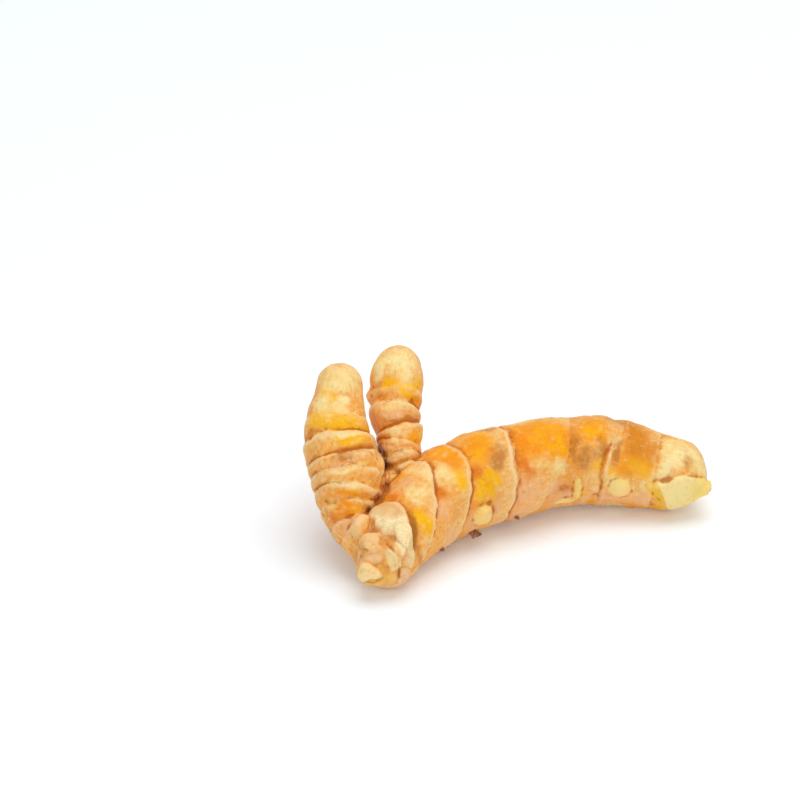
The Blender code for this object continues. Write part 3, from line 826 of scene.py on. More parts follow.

# %% [markdown]
# ## Where each colour lies
#
# Fresh turmeric isn't one colour. Thin peach skin covers it, bright orange flesh glows through where the skin is
# thinnest, and the lips of the old leaf scales are pale and dry; on top of these, painted shade darkens the
# grooves, creases and gaps. A mask for each of these is stored on the points as a number from 0 to 1, and the
# material mixes its colours by them. An image could hold the same, but numbers on the points need no unwrapping
# and work on any finer mesh.

# %% Store the masks on the skin
ORANGE = (
    ("main", 51.4, 20, 3.6, 5.0, 1.2),
    ("main", 55.8, 22, 4.4, 5.6, 1.3),
    ("main", 60.6, 27, 3.4, 4.6, 1.2),
    ("main", 54.0, 44, 3.0, 2.4, 1.0),
    ("main", 70.8, 19, 3.2, 3.0, 1.2),
    ("main", 68.6, 22, 2.2, 3.2, 1.0),
    ("main", 42.2, 8, 2.6, 4.4, 1.1),
    ("main", 39.8, 14, 3.0, 4.6, 1.0),
    ("main", 40.2, 50, 1.8, 2.6, 0.9),
    ("main", 33.0, -2, 3.0, 5.6, 1.4),
    ("main", 84.4, 58, 2.2, 2.4, 0.7),
    ("main", 78.8, 60, 2.2, 2.8, 0.7),
    ("main", 13.4, 38, 1.8, 3.0, 1.0),
    ("main", 91.4, -14, 1.6, 2.4, 0.9),
    ("long", 13.4, -8, 1.9, 3.4, 1.3),
    ("long", 11.8, -9, 1.4, 2.6, 1.0),
    ("long", 17.2, 4, 0.9, 5.0, 0.9),
    ("long", 32.7, 53, 2.0, 2.4, 1.0),
    ("long", 28.8, 14, 1.6, 4.0, 0.7),
    ("short", 28.3, 54, 1.8, 2.2, 1.1),
    ("short", 25.1, 62, 1.4, 2.2, 1.0),
    ("short", 17.8, -58, 1.7, 2.4, 1.1),
    ("short", 18.6, 50, 1.8, 2.4, 1.0),
    ("short", 12.8, -40, 1.0, 2.4, 0.6),
)
AMBER = (
    ("main", 80.8, 16, 3.2, 4.2, 1.2),
    ("main", 81.6, 38, 3.0, 3.6, 1.2),
    ("main", 85.0, 26, 1.8, 3.8, 0.9),
    ("main", 72.6, 56, 2.2, 2.2, 0.7),
    ("main", 64.8, 30, 1.8, 3.4, 0.8),
    ("short", 12.6, 30, 2.0, 3.0, 0.6),
    ("long", 20.8, 30, 1.2, 2.4, 0.5),
)
YELLOW = (
    ("main", 41.0, 62, 2.4, 2.6, 1.1),
    ("main", 38.4, 68, 2.6, 3.0, 1.1),
    ("main", 35.1, 73, 1.8, 2.6, 1.0),
    ("main", 30.3, 42, 2.0, 3.0, 1.1),
    ("main", 13.4, 48, 1.6, 3.4, 1.0),
    ("main", 75.8, 80, 3.0, 2.2, 0.8),
    ("main", 70.4, 18, 3.0, 2.6, 0.8),
    ("main", 82.0, 60, 3.4, 2.4, 0.7),
    ("main", 60.4, 36, 2.0, 2.0, 0.6),
    ("main", 71.3, 69, 1.8, 2.4, 0.8),
    ("main", 65.7, 104, 1.4, 3.2, 0.8),
    ("main", 95.6, 34, 1.8, 2.4, 0.6),
    ("long", 35.4, -6, 1.9, 5.0, 1.4),
    ("long", 33.6, 10, 1.5, 4.6, 1.1),
    ("long", 29.2, 0, 1.3, 4.4, 1.0),
    ("long", 42.8, -20, 1.8, 2.0, 0.8),
    ("long", 44.6, -4, 1.8, 3.0, 0.7),
    ("long", 31.4, 2, 1.4, 4.6, 0.6),
    ("long", 40.6, 0, 1.2, 1.6, 0.9),
    ("short", 30.8, -14, 1.5, 2.6, 1.0),
    ("short", 30.2, 32, 1.8, 2.6, 1.2),
    ("short", 32.4, 58, 2.6, 1.8, 0.9),
    ("short", 36.8, -30, 2.0, 2.2, 0.8),
)
CREAM = (
    ("main", 28.6, 26, 1.8, 2.8, 1.1),
    ("main", 25.4, 13, 2.2, 3.0, 0.9),
    ("main", 19.6, 8, 2.2, 2.8, 1.0),
    ("main", 17.1, 26, 1.2, 2.0, 0.9),
    ("main", 57.7, 64, 3.0, 2.0, 1.0),
    ("main", 53.5, 56, 2.6, 1.6, 0.7),
    ("main", 74.4, 28, 1.8, 1.8, 1.2),
    ("main", 77.3, 92, 2.8, 2.4, 1.1),
    ("main", 89.9, 22, 3.0, 4.6, 1.3),
    ("main", 88.4, 54, 1.8, 3.4, 1.1),
    ("main", 92.8, 8, 3.6, 4.2, 1.0),
    ("main", 95.6, 20, 2.2, 3.2, 0.9),
    ("main", 84.3, 84, 1.8, 2.0, 0.7),
    ("long", 46.2, 4, 3.6, 6.4, 1.0),
    ("long", 39.4, -22, 3.4, 3.0, 0.8),
    ("long", 40.7, 22, 1.6, 2.0, 1.1),
    ("long", 43.6, 14, 2.0, 2.4, 0.8),
    ("long", 38.6, 8, 1.6, 3.6, 0.8),
    ("long", 30.9, -6, 0.8, 5.4, 0.9),
    ("long", 22.1, -12, 0.9, 4.6, 0.9),
    ("long", 18.9, -2, 0.8, 5.4, 0.9),
    ("long", 15.4, -26, 1.2, 2.0, 0.7),
    ("short", 37.0, -4, 3.6, 6.4, 0.9),
    ("short", 35.1, 9, 2.4, 2.6, 1.1),
    ("short", 14.8, 6, 1.6, 3.4, 0.8),
    ("main", 26.1, -26, 2.0, 3.4, 0.8),
    ("short", 32.8, 20, 1.8, 2.2, 1.2),
    ("short", 34.6, -44, 1.6, 1.8, 1.0),
    ("short", 25.8, 4, 1.0, 3.8, 1.1),
    ("short", 19.4, -12, 1.3, 2.8, 1.0),
)
BROWN = (
    ("main", 44.2, 38, 2.6, 2.6, 1.2),
    ("main", 71.8, 46, 2.4, 3.2, 0.9),
    ("main", 67.6, 56, 2.8, 2.6, 0.9),
    ("main", 64.8, 44, 1.4, 3.4, 0.9),
    ("main", 75.6, 46, 1.6, 3.4, 1.1),
    ("main", 46.5, -20, 2.4, 2.4, 0.8),
    ("main", 76.9, -14, 4.0, 3.0, 0.8),
    ("main", 60.6, 104, 1.8, 1.6, 0.8),
    ("main", 93.4, 33, 1.6, 2.2, 0.8),
    ("long", 26.2, -4, 0.7, 5.4, 1.1),
    ("long", 26.6, 66, 1.4, 2.4, 0.8),
    ("short", 11.5, -62, 1.8, 3.2, 1.0),
    ("short", 14.2, -6, 0.7, 3.4, 0.9),
    ("short", 12.2, -10, 0.7, 3.0, 0.9),
    ("short", 22.2, 0, 0.7, 4.6, 1.0),
)
RED = (
    ("main", 23.6, 36, 1.6, 2.6, 1.0),
    ("main", 36.8, 48, 1.4, 4.0, 1.0),
    ("main", 49.7, 52, 1.4, 3.8, 1.0),
    ("main", 16.6, -22, 1.4, 2.0, 1.1),
    ("main", 60.0, 60, 1.8, 1.8, 0.6),
    ("long", 12.8, -54, 1.4, 1.4, 0.9),
    ("short", 28.8, 72, 1.4, 2.0, 1.1),
    ("long", 26.4, -10, 1.0, 3.0, 0.6),
    ("short", 16.2, 0, 2.0, 3.6, 0.5),
)
PINK = (
    ("main", 20.1, 60, 2.6, 3.0, 0.9),
    ("main", 49.7, 86, 4.0, 3.6, 0.9),
    ("main", 56.2, 96, 3.6, 2.4, 0.8),
    ("main", 39.2, 97, 2.4, 2.6, 0.8),
    ("main", 84.3, 112, 4.6, 2.6, 0.8),
    ("main", 69.8, 122, 4.0, 2.4, 0.8),
    ("main", 60.0, 118, 5.0, 3.0, 0.9),
    ("main", 76.0, 120, 5.0, 2.6, 0.9),
    ("main", 48.2, 122, 4.0, 3.4, 0.8),
    ("main", 31.0, 110, 3.0, 3.4, 0.8),
    ("main", 20.6, 106, 3.0, 3.2, 0.8),
    ("long", 9.5, -24, 2.0, 3.0, 0.9),
    ("main", 21.6, -19, 2.2, 3.0, 0.8),
    ("main", 8.9, -46, 3.0, 3.0, 0.5),
    ("main", 7.1, 50, 3.0, 3.0, 0.5),
    ("long", 24.3, -14, 1.0, 4.2, 0.8),
    ("long", 11.0, -54, 2.4, 2.4, 0.8),
    ("short", 23.8, -6, 1.4, 3.6, 0.8),
)
# The turns of each limb that the photograph doesn't show.
HIDDEN = {"main": (130, 335), "long": (95, 265), "short": (95, 265)}


def scattered(seed, per_hundred):
    """Patches at random places on the hidden sides, so many for every 100 mm of limb."""
    random = np.random.default_rng(seed)
    rows = []
    for name, limb in LIMBS.items():
        for _ in range(round(per_hundred * limb.length / 100.0)):
            s = random.uniform(0.12, 0.95) * limb.length
            size = random.uniform(1.4, 3.6, 2)
            rows.append((name, s, random.uniform(*HIDDEN[name]), *size, random.uniform(0.8, 1.2)))
    return tuple(rows)


HEAD_COLOURS = sorted({row[1] for row in HEAD_LUMPS})
downhill = owned("downhill")
pale_line = np.exp(-(((downhill + 0.5) / 0.55) ** 2)) * np.clip(owned("line"), 0.0, 1.0)
# A darker red-orange strip below each ring's step: partly the skin's own colour there, partly painted shade
# under the step, stronger where the step is taller.
foot = np.exp(-(((downhill - 0.7) / 0.9) ** 2)) * np.clip(owned("drop"), 0.0, 1.0)


def head_colour(name):
    """How much each point lies on the lumps of one colour."""
    rows = [i for i, row in enumerate(HEAD_LUMPS) if row[1] == name]
    return lump_share[rows].sum(0) * in_head


def on_shoot(margin):
    """From 0 to 1, how far each point lies inside the shoot's flat faces, moved out by the margin in mm."""
    outside = np.full(len(points), -np.inf)
    for face in wedge.polygons:
        outside = np.maximum(outside, (points - np.array(face.center) / MM) @ np.array(face.normal))
    return np.clip((margin - outside) / 0.5, 0.0, 1.0)


def painted_shadow_beside_head():
    """Painted shadow on the first length, against the edge of the broken end."""
    beyond_edge = fields[0]["beyond"][0]
    around = np.degrees(fields[0]["turn"])
    return np.exp(-(((beyond_edge - 1.2) / 1.9) ** 2) - ((around - 46.0) / 30.0) ** 2)


shoot = on_shoot(0.9)
# Height across the line of sight, which tells the shoot's left face from its broad one.
rise = math.sin(ELEVATION) * points[:, 1] + math.cos(ELEVATION) * points[:, 2]

MASKS = {
    "orange": ovals(ORANGE + scattered(71, 18)),
    "amber": ovals(AMBER + scattered(72, 8)),
    "yellow": ovals(YELLOW + scattered(73, 9)),
    "cream": ovals(CREAM + scattered(74, 14)),
    "brown": ovals(BROWN + scattered(75, 7)),
    "red": ovals(RED + scattered(76, 8)),
    "pink": ovals(PINK + scattered(77, 10)),
    "lip": pale_line * (1.0 - knobbed),
    "foot": foot * (1.0 - knobbed),
    "bud": on_knobs(BUDS[:6], 1.12, 0.22),
    "shoot": shoot,
    # Painted shade on the shoot's left face.
    "shoot_flank_shade": shoot * soft_step(35.0 + 0.483 * (12.2 - rise) - points[:, 0], -0.2, 0.8),
    "shoot_tip": np.clip(1.4 - np.linalg.norm(points - (47.0, 10.0, 7.0), axis=1), 0.0, 1.0),
    "painted_shadow_beside_head": painted_shadow_beside_head(),
    # Painted shade on the upper, back side of the hood.
    "hood_back_shade": head_colour("hood") * soft_step(rise, 4.4, 6.4),
    # Painted shade in the gaps between limbs, weaker on the broken end and higher up the fingers.
    "painted_gap_shade": painted_gap_shade * (1.0 - 0.7 * in_head) * (1.0 - 0.5 * soft_step(points[:, 2], 20.0, 25.0)),
    # Painted shade inside the slits between lumps.
    "slit_shade": slits,
    "share": owned("share"),
    # Painted shade in creases, where the relaxed skin lies outside the real one; below zero on ridges, which get
    # a paler colour.
    "crease": np.clip(fold / 0.10, -1.0, 1.0) * (1.0 - 0.5 * in_head),
    # Painted shade in broad valleys.
    "valley_shade": np.clip((wide_fold + 0.12) / 0.45, -1.0, 1.0) * (1.0 - 0.8 * in_head),
    "head": in_head,
    # Painted shade in the creases between the lumps of the broken end.
    "head_crease": lump_crease,
    "lump_middle": np.clip(1.0 - nearest / 3.2, 0.0, 1.0) * in_head,
}
for name in HEAD_COLOURS:
    MASKS["head_" + name] = head_colour(name)


def store_mask(mesh, name, values):
    mask = mesh.attributes.new(name, "FLOAT", "POINT")
    mask.data.foreach_set("value", np.ascontiguousarray(values, dtype=np.float32))


for name, values in MASKS.items():
    store_mask(skin, name, values)
    print(name, "covers", round(100 * float((values > 0.5).mean()), 1), "% of the skin")

# %% [markdown]
# ## The direction of the grain
#
# The skin has fine fibres that run along each limb. A texture that is stretched along one axis of the world
# would run across the fingers, so each point also stores its place in a straightened limb: how far along it
# is, and where on the round. Noise that reads this place can be stretched along the limb, and it has no seam.

# %% Store the straightened limb on the skin
along, turn = owned("along"), owned("turn")
radius = np.stack([np.interp(f["along"], l.s, l.radius) for f, l in zip(fields, LIMBS.values())])
radius = np.take_along_axis(radius, owner[None], 0)[0]
straight = np.stack([along + 200.0 * owner, radius * np.cos(turn), radius * np.sin(turn)], axis=1)
grain = skin.attributes.new("grain", "FLOAT_VECTOR", "POINT")
grain.data.foreach_set("vector", np.ascontiguousarray(straight, dtype=np.float32).ravel())
print("grain stored for", len(straight), "points")

# %% [markdown]
# ## The skin's finish
#
# The recipe lays colour on colour, as a painter would: peach first, then pink and red-orange, then orange and
# yellow where the flesh glows, then cream, and then the brown of dirt. After them come the lumps with painted
# shade on the back of the hood, the buds and the shoot with painted shade on its left face, then the pale lips
# of the rings and the darker strip under each step, which is partly painted shade, and last painted shade in the
# valleys, creases, slits and gaps, a painted shadow beside the broken end and a paler colour on the ridges.
# Each layer's edge is broken up by noise, because a mask with a clean edge looks printed. A little light
# passes through the thin skin, which is what makes it look fresh, and fine bumps follow the grain.

# %% Mix the skin's colours
def srgb(red, green, blue):
    """A colour as picked from a screen, from 0 to 255, turned into the linear numbers of a shader."""
    linear = []
    for value in (red, green, blue):
        value /= 255.0
        linear.append(value / 12.92 if value <= 0.04045 else ((value + 0.055) / 1.055) ** 2.4)
    return (*linear, 1.0)


def stored(tree, name):
    return add(tree, "Attribute", attribute_type="GEOMETRY", attribute_name=name).outputs["Fac"]


def blotches(tree, place, scale, detail=3.0, rough=0.55):
    node = add(tree, "TexNoise", {"Vector": place, "Scale": scale, "Detail": detail, "Roughness": rough})
    return node.outputs[0]


def ramp(tree, value, low, high, to_low=0.0, to_high=1.0):
    """Turns a value between low and high smoothly into one between to_low and to_high."""
    levels = {"Value": value, "From Min": low, "From Max": high, "To Min": to_low, "To Max": to_high}
    return add(tree, "MapRange", levels, interpolation_type="SMOOTHSTEP").outputs[0]


def math_node(tree, operation, first, second):
    node = tree.nodes.new("ShaderNodeMath")
    node.operation = operation
    for socket, value in zip(node.inputs, (first, second)):
        if isinstance(value, bpy.types.NodeSocket):
            tree.links.new(value, socket)
        else:
            socket.default_value = value
    return node.outputs[0]


def layer(tree, share, under, over):
    """Lays one colour over another where share is near 1."""
    node = tree.nodes.new("ShaderNodeMix")
    node.data_type = "RGBA"
    for index, value in ((0, share), (6, under), (7, over)):
        if isinstance(value, bpy.types.NodeSocket):
            tree.links.new(value, node.inputs[index])
        else:
            node.inputs[index].default_value = value
    return node.outputs[2]


def ragged(tree, mask, breakup, amount, low=0.22, high=0.85, strength=1.0):
    """A stored mask whose edge is broken up by noise."""
    shift = math_node(tree, "MULTIPLY", math_node(tree, "SUBTRACT", breakup, 0.5), amount)
    moved = math_node(tree, "ADD", stored(tree, mask), shift)
    return ramp(tree, moved, low, high, 0.0, strength)


# The colour of each kind of lump on the broken end, as picked from a screen.
HEAD_PAINTS = {
    "hood": (255, 233, 180),
    "cream": (252, 222, 154),
    "recess": (236, 168, 84),
    "scar": (200, 130, 80),
    "peach": (249, 200, 136),
    "gold": (244, 186, 84),
    "grey": (240, 208, 152),
    "pinkish": (244, 198, 146),
}


def make_skin_finish():
    material, tree, shader = start_finish("turmeric_skin")
    place = add(tree, "TexCoord").outputs["Object"]
    grain = add(tree, "Attribute", attribute_type="GEOMETRY", attribute_name="grain").outputs["Vector"]
    fibre_place = add(tree, "Mapping", {"Vector": grain, "Scale": (0.22, 1.0, 1.0)}).outputs[0]
    hoop_place = add(tree, "Mapping", {"Vector": grain, "Scale": (1.0, 0.25, 0.25)}).outputs[0]
    wide = blotches(tree, place, 90.0)
    fine = blotches(tree, place, 420.0, 5.0, 0.65)
    grit = blotches(tree, place, 1300.0, 3.0, 0.6)
    flake_place = add(tree, "Mapping", {"Vector": grain, "Scale": (1.0, 0.55, 0.55)}).outputs[0]
    flake = blotches(tree, flake_place, 0.8, 4.0, 0.7)
    fibre = blotches(tree, fibre_place, 1.5, 4.0, 0.6)
    hoop = blotches(tree, hoop_place, 1.1, 3.0, 0.6)

    share = stored(tree, "share")
    colour = layer(tree, ramp(tree, wide, 0.35, 0.65), srgb(240, 168, 82), srgb(252, 200, 122))
    band = math_node(tree, "MULTIPLY", hoop, 0.9)
    band = math_node(tree, "ADD", band, math_node(tree, "MULTIPLY", share, -0.35))
    inner = ramp(tree, math_node(tree, "ADD", band, math_node(tree, "MULTIPLY", wide, 0.6)), 0.42, 0.72)
    colour = layer(tree, math_node(tree, "MULTIPLY", inner, 0.6), colour, srgb(248, 156, 14))
    outer = math_node(tree, "ADD", share, math_node(tree, "MULTIPLY", flake, 1.2))
    outer = ramp(tree, outer, 1.15, 1.60)
    colour = layer(tree, math_node(tree, "MULTIPLY", outer, 0.6), colour, srgb(252, 208, 134))
    colour = layer(tree, ramp(tree, fibre, 0.30, 0.50, 0.32, 0.0), colour, srgb(216, 134, 52))
    colour = layer(tree, ramp(tree, fibre, 0.52, 0.68, 0.0, 0.40), colour, srgb(255, 222, 162))
    colour = layer(tree, ramp(tree, flake, 0.54, 0.70, 0.0, 0.35), colour, srgb(252, 214, 150))
    rubbed = ramp(tree, wide, 0.40, 0.60)
    dark_grit = math_node(tree, "MULTIPLY", ramp(tree, grit, 0.34, 0.44, 0.45, 0.0), rubbed)
    colour = layer(tree, dark_grit, colour, srgb(208, 124, 50))
    colour = layer(tree, ramp(tree, grit, 0.56, 0.66, 0.0, 0.18), colour, srgb(254, 222, 164))
    colour = layer(tree, ragged(tree, "pink", flake, 0.8, 0.10, 0.90, 0.8), colour, srgb(244, 186, 134))
    colour = layer(tree, ragged(tree, "red", flake, 0.8, 0.15, 0.95, 0.9), colour, srgb(232, 124, 28))
    colour = layer(tree, ragged(tree, "amber", flake, 0.8, 0.15, 0.95, 0.9), colour, srgb(222, 134, 12))
    flesh = layer(tree, ramp(tree, wide, 0.38, 0.62), srgb(246, 146, 0), srgb(255, 176, 6))
    colour = layer(tree, ragged(tree, "orange", wide, 0.7, 0.15, 0.90, 0.96), colour, flesh)
    colour = layer(tree, ragged(tree, "yellow", wide, 0.7, 0.15, 0.95, 0.92), colour, srgb(255, 188, 4))
    pale = math_node(tree, "MULTIPLY", fibre, 0.4)
    pale = math_node(tree, "ADD", pale, math_node(tree, "MULTIPLY", wide, 0.6))
    pale = layer(tree, ramp(tree, pale, 0.40, 0.60), srgb(249, 211, 134), srgb(254, 234, 168))
    colour = layer(tree, ragged(tree, "cream", flake, 0.9, 0.15, 1.00, 0.9), colour, pale)
    colour = layer(tree, ragged(tree, "brown", flake, 1.2, 0.20, 1.00, 0.8), colour, srgb(192, 120, 44))
    for name, paint in HEAD_PAINTS.items():
        colour = layer(tree, ragged(tree, "head_" + name, wide, 1.1, 0.20, 0.85), colour, srgb(*paint))
    rim = math_node(tree, "SUBTRACT", stored(tree, "head"), stored(tree, "lump_middle"))
    rim = math_node(tree, "ADD", rim, flake)
    colour = layer(tree, ramp(tree, rim, 0.9, 1.5, 0.0, 0.45), colour, srgb(234, 184, 122))
    callus = math_node(tree, "MULTIPLY", stored(tree, "head"), flake)
    colour = layer(tree, ramp(tree, callus, 0.46, 0.62, 0.0, 0.55), colour, srgb(238, 190, 134))
    scab = math_node(tree, "MULTIPLY", stored(tree, "head"), fine)
    colour = layer(tree, ramp(tree, scab, 0.50, 0.66, 0.0, 0.45), colour, srgb(216, 150, 84))
    # Painted shade: a tan laid on the back of the hood.
    colour = layer(tree, ragged(tree, "hood_back_shade", fine, 1.2, 0.15, 0.95, 0.75), colour, srgb(230, 180, 116))
    colour = layer(tree, ragged(tree, "bud", fine, 0.5), colour, srgb(252, 218, 122))
    sprout = layer(tree, ramp(tree, wide, 0.35, 0.65), srgb(248, 214, 112), srgb(252, 228, 156))
    colour = layer(tree, ragged(tree, "shoot", fine, 0.4), colour, sprout)
    # Painted shade: a darker yellow on the shoot's left face.
    colour = layer(tree, ragged(tree, "shoot_flank_shade", wide, 0.6, 0.25, 0.75, 0.9), colour, srgb(246, 190, 50))
    colour = layer(tree, ragged(tree, "shoot_tip", fine, 0.9, 0.35, 0.80, 0.6), colour, srgb(176, 132, 76))
    colour = layer(tree, ragged(tree, "lip", hoop, 1.6, 0.40, 1.00, 0.8), colour, srgb(250, 212, 160))
    # Below each step: partly the skin's own red-orange, partly painted shade under the step.
    colour = layer(tree, ragged(tree, "foot", hoop, 1.4, 0.35, 1.05, 0.75), colour, srgb(206, 114, 34))
    # Painted shade: darker orange in broad valleys and dark brown in creases.
    crease = math_node(tree, "ADD", stored(tree, "crease"), math_node(tree, "MULTIPLY", fine, 0.6))
    valley_shade = stored(tree, "valley_shade")
    colour = layer(tree, ramp(tree, valley_shade, 0.30, 1.0, 0.0, 0.45), colour, srgb(226, 126, 24))
    colour = layer(tree, ramp(tree, crease, 0.60, 1.35, 0.0, 0.75), colour, srgb(184, 98, 26))
    # Painted shadow: dark brown on the first length, beside the edge of the broken end.
    colour = layer(tree, ragged(tree, "painted_shadow_beside_head", fine, 0.6, 0.15, 0.80, 0.9), colour, srgb(166, 102, 26))
    # Painted shade: the creases between the lumps of the broken end are darkened.
    lump_crease_shade = math_node(tree, "MULTIPLY", stored(tree, "head_crease"), math_node(tree, "ADD", wide, 0.4))
    colour = layer(tree, ramp(tree, lump_crease_shade, 0.32, 0.90, 0.0, 0.80), colour, srgb(194, 130, 68))
    # Ridges, where the crease mask is below zero, get a paler colour.
    ridge = math_node(tree, "MULTIPLY", stored(tree, "crease"), -1.0)
    colour = layer(tree, ramp(tree, ridge, 0.25, 1.0, 0.0, 0.50), colour, srgb(252, 216, 158))
    colour = layer(tree, ramp(tree, fine, 0.30, 0.46, 0.25, 0.0), colour, srgb(206, 124, 44))
    pore = add(tree, "TexVoronoi", {"Vector": place, "Scale": 260.0}).outputs["Distance"]
    dotted = math_node(tree, "MULTIPLY", ramp(tree, pore, 0.05, 0.11, 1.0, 0.0), ramp(tree, wide, 0.48, 0.60))
    colour = layer(tree, math_node(tree, "MULTIPLY", dotted, 0.35), colour, srgb(176, 106, 48))
    # Painted shade: the slits between lumps are darkened.
    colour = layer(tree, ragged(tree, "slit_shade", fine, 0.7, 0.30, 0.95, 0.80), colour, srgb(166, 104, 38))
    # Painted shade: dark brown where rays from a point meet skin again, deep in the gaps between limbs.
    painted_gap_darkness = math_node(tree, "ADD", stored(tree, "painted_gap_shade"), math_node(tree, "MULTIPLY", fine, 0.2))
    colour = layer(tree, ramp(tree, painted_gap_darkness, 0.52, 0.95, 0.0, 0.9), colour, srgb(116, 62, 24))
    tree.links.new(colour, shader.inputs["Base Color"])

    rough = math_node(tree, "ADD", fine, math_node(tree, "MULTIPLY", fibre, 0.5))
    rough = ramp(tree, rough, 0.5, 1.0, 0.36, 0.60)
    tree.links.new(rough, shader.inputs["Roughness"])
    shader.inputs["Subsurface Weight"].default_value = 0.14
    shader.inputs["Subsurface Radius"].default_value = (1.0, 0.42, 0.12)
    shader.inputs["Subsurface Scale"].default_value = 0.0022
    shader.inputs["Specular IOR Level"].default_value = 0.14

    cells = add(tree, "TexVoronoi", {"Vector": place, "Scale": 900.0}).outputs["Distance"]
    bumps = math_node(tree, "MULTIPLY", fibre, 0.8)
    bumps = math_node(tree, "ADD", bumps, math_node(tree, "MULTIPLY", fine, 0.6))
    bumps = math_node(tree, "ADD", bumps, math_node(tree, "MULTIPLY", cells, 0.25))
    bumps = math_node(tree, "ADD", bumps, math_node(tree, "MULTIPLY", hoop, 0.7))
    bumps = math_node(tree, "ADD", bumps, math_node(tree, "MULTIPLY", flake, 0.9))
    bump = add(tree, "Bump", {"Height": bumps, "Strength": 0.75, "Distance": 0.0005})
    tree.links.new(bump.outputs[0], shader.inputs["Normal"])
    return material


skin.materials.clear()
skin.materials.append(make_skin_finish())
skin.shade_smooth()
root = bpy.data.objects.new("turmeric_skin", skin)
bpy.context.scene.collection.objects.link(root)
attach(root, "root")
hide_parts("turmeric_root")

# %% [markdown]
# ## Frayed leaf scales
#
# The papery leaf scales have worn away, but their roots are left along some rings as a torn, pale fringe less
# than a millimetre high. Colour alone can't show an edge that stands up and casts a shadow, so the fringe is
# built: a strip that follows the ring, leans towards the tip and is torn to a different height at each place.
# A ray shot towards the middle of the limb, from outside it, finds the skin under each place.

# %% Build the fringes
def on_skin(name, s, turn_degrees):
    """The point of the raised skin over a place of a limb, and the ways along and out of the limb."""
    middle, along, out, radius = LIMBS[name].at(s, turn_degrees)
    start = Vector(middle + out * (radius + 6.0))
    hit = skin_tree.ray_cast(start, Vector(-out), 12.0)[0]
    return np.array(hit), along, out


def fringe_mesh(name, ring, first, last, tallest, seed):
    """A torn strip along a ring, from one turn to another, as a closed mesh in millimetres."""
    turns = np.arange(first, last, 2.0)
    places = LIMBS[name].ring_places(np.radians(turns))[ring]
    bare = np.array([on_skin(name, s, turn)[0] for s, turn in zip(places, turns)])
    places = places + (noise_at(bare, 2.2, 5) + 0.8 * noise_at(bare, 5.5, 6)) * RING_WOBBLE - 0.15
    torn = 0.5 + 0.9 * noise_at(bare, 1.3, seed) + 0.5 * noise_at(bare, 0.6, seed + 1)
    fade = np.clip(np.minimum(turns - first, last - turns) / 14.0, 0.0, 1.0)
    tall = tallest * np.clip(torn, 0.0, 1.0) * fade
    corners, faces = [], []
    for s, turn, height in zip(places, turns, tall):
        foot, along, out = on_skin(name, s, turn)
        top = foot + out * (0.75 * height - 0.05) + along * 0.55 * height
        low = foot - out * 0.25
        thick = along * 0.09
        corners += [low - thick, low + thick, top + 0.5 * thick, top - 0.5 * thick]
    for i in range(len(turns) - 1):
        for j in range(4):
            k = (j + 1) % 4
            faces.append((4 * i + j, 4 * i + k, 4 * i + 4 + k, 4 * i + 4 + j))
    faces += [(3, 2, 1, 0), tuple(4 * (len(turns) - 1) + j for j in range(4))]
    mesh = bpy.data.meshes.new("leaf_scale")
    mesh.from_pydata([tuple(corner * MM) for corner in corners], [], faces)
    return mesh


# Each fringe: its limb, which of its rings, from which turn to which, how high it is and its random seed.
FRINGES = (
    ("main", 1, 30, 118, 0.45, 61),
    ("main", 3, -20, 100, 0.38, 63),
    ("main", 3, 190, 300, 0.60, 64),
    ("main", 1, 200, 300, 0.50, 66),
    ("long", 4, -40, 60, 0.40, 67),
    ("long", 3, -50, 20, 0.40, 68),
    ("long", 6, 150, 260, 0.40, 69),
    ("short", 4, -40, 50, 0.40, 70),
    ("short", 1, -10, 60, 0.40, 71),
)


def paper_finish():
    material, tree, shader = start_finish("dry_scale")
    place = add(tree, "TexCoord").outputs["Object"]
    fine = blotches(tree, place, 900.0, 4.0, 0.6)
    colour = layer(tree, ramp(tree, fine, 0.35, 0.65), srgb(224, 168, 104), srgb(250, 216, 164))
    tree.links.new(colour, shader.inputs["Base Color"])
    shader.inputs["Roughness"].default_value = 0.75
    shader.inputs["Subsurface Weight"].default_value = 0.3
    shader.inputs["Subsurface Radius"].default_value = (1.0, 0.6, 0.35)
    shader.inputs["Subsurface Scale"].default_value = 0.0006
    return material


def place_piece(name, mesh, material):
    """Puts a loose piece into the scene as part of the root's one body."""
    mesh.materials.append(material)
    piece = bpy.data.objects.new(name, mesh)
    bpy.context.scene.collection.objects.link(piece)
    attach(piece, "root")
    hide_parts("turmeric_root")
    return piece


paper = paper_finish()
for i, row in enumerate(FRINGES):
    place_piece(f"leaf_scale_{i + 1}", fringe_mesh(*row), paper)
print("fringes:", len(FRINGES))

# %% [markdown]
# ## Root stubs
#
# Thin roots once grew from the underside. They are trimmed and have dried to short dark stubs with a torn end.
# Each stub is a tapering tube of a few rings that bends a little, and its last ring is ragged. A plain cylinder
# would look like a peg stuck into the skin.

# %% Build the stubs
# Each stub: its limb, its place along and round it, its length, its half width, its lean along the limb and
# its random seed.
STUBS = (
    ("main", 32.4, 128, 1.9, 0.85, -0.5, 81),
    ("main", 34.0, 133, 1.7, 0.75, 0.5, 82),
    ("main", 18.6, 124, 1.3, 0.50, 0.3, 83),
    ("main", 47.6, 131, 1.2, 0.50, 0.2, 84),
    ("main", 25.6, 150, 1.4, 0.60, 0.2, 85),
    ("main", 55.2, 166, 1.0, 0.55, -0.3, 86),
    ("main", 69.5, 232, 1.6, 0.60, 0.4, 87),
    ("main", 29.5, 252, 1.5, 0.60, -0.2, 88),
    ("main", 84.5, 214, 1.0, 0.45, 0.3, 89),
    ("long", 19.8, 205, 1.2, 0.45, 0.2, 90),
    ("long", 24.6, 160, 1.2, 0.50, -0.2, 91),
    ("short", 24.0, 200, 1.1, 0.45, 0.2, 92),
)
STUB_SIDES = 12
STUB_RINGS = 7


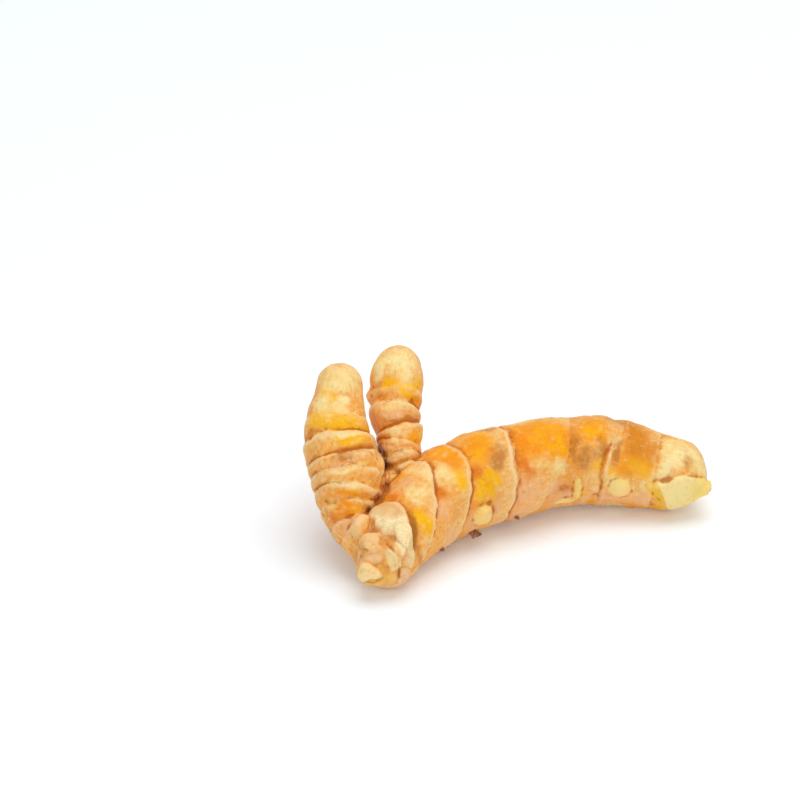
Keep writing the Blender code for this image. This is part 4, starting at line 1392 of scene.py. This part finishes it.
def stub_mesh(name, s, turn_degrees, length, half_width, lean, seed):
    foot, along, out = on_skin(name, s, turn_degrees)
    across = np.cross(out, along)
    random = np.random.default_rng(seed)
    ragged_end = random.uniform(-0.25, 0.25, STUB_SIDES)
    corners, faces = [], []
    for level in np.linspace(0.0, 1.0, STUB_RINGS):
        middle = foot + out * (length * level - 0.5) + along * lean * level**2
        width = half_width * (1.25 - 0.55 * level) * (1.0 + 0.12 * math.sin(9.0 * level + seed))
        for side in range(STUB_SIDES):
            angle = 2.0 * math.pi * side / STUB_SIDES
            rim = width * (1.0 + 0.18 * math.sin(3.0 * angle + seed))
            place = middle + across * math.cos(angle) * rim + along * math.sin(angle) * rim
            corners.append(place + out * ragged_end[side] * level**4)
    last = (STUB_RINGS - 1) * STUB_SIDES
    for level in range(STUB_RINGS - 1):
        for side in range(STUB_SIDES):
            a, b = level * STUB_SIDES + side, level * STUB_SIDES + (side + 1) % STUB_SIDES
            faces.append((a, b, b + STUB_SIDES, a + STUB_SIDES))
    hollow_end = np.mean(corners[last:], axis=0) - out * 0.35
    corners += [hollow_end, foot - out * 0.6]
    for side in range(STUB_SIDES):
        after = (side + 1) % STUB_SIDES
        faces.append((last + side, last + after, len(corners) - 2))
        faces.append((after, side, len(corners) - 1))
    mesh = bpy.data.meshes.new("root_stub")
    mesh.from_pydata([tuple(corner * MM) for corner in corners], [], faces)
    mesh.shade_smooth()
    return mesh


def stub_finish():
    material, tree, shader = start_finish("dry_root")
    place = add(tree, "TexCoord").outputs["Object"]
    fine = blotches(tree, place, 1100.0, 4.0, 0.65)
    wide = blotches(tree, place, 350.0)
    colour = layer(tree, ramp(tree, fine, 0.35, 0.65), srgb(96, 52, 30), srgb(172, 112, 72))
    colour = layer(tree, ramp(tree, wide, 0.50, 0.70, 0.0, 0.6), colour, srgb(196, 146, 128))
    tree.links.new(colour, shader.inputs["Base Color"])
    shader.inputs["Roughness"].default_value = 0.8
    bump = add(tree, "Bump", {"Height": fine, "Strength": 0.7, "Distance": 0.0003})
    tree.links.new(bump.outputs[0], shader.inputs["Normal"])
    return material


dry_root = stub_finish()
for i, row in enumerate(STUBS):
    place_piece(f"root_stub_{i + 1}", stub_mesh(*row), dry_root)
print("stubs:", len(STUBS))

# %% [markdown]
# ## Measure the dressed root
#
# The dressed root has to keep the size of the solid, so the box round everything that is shown is measured; the
# solid that the skin replaces is already hidden, so it doesn't count.

# %% Measure the box
low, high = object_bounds()
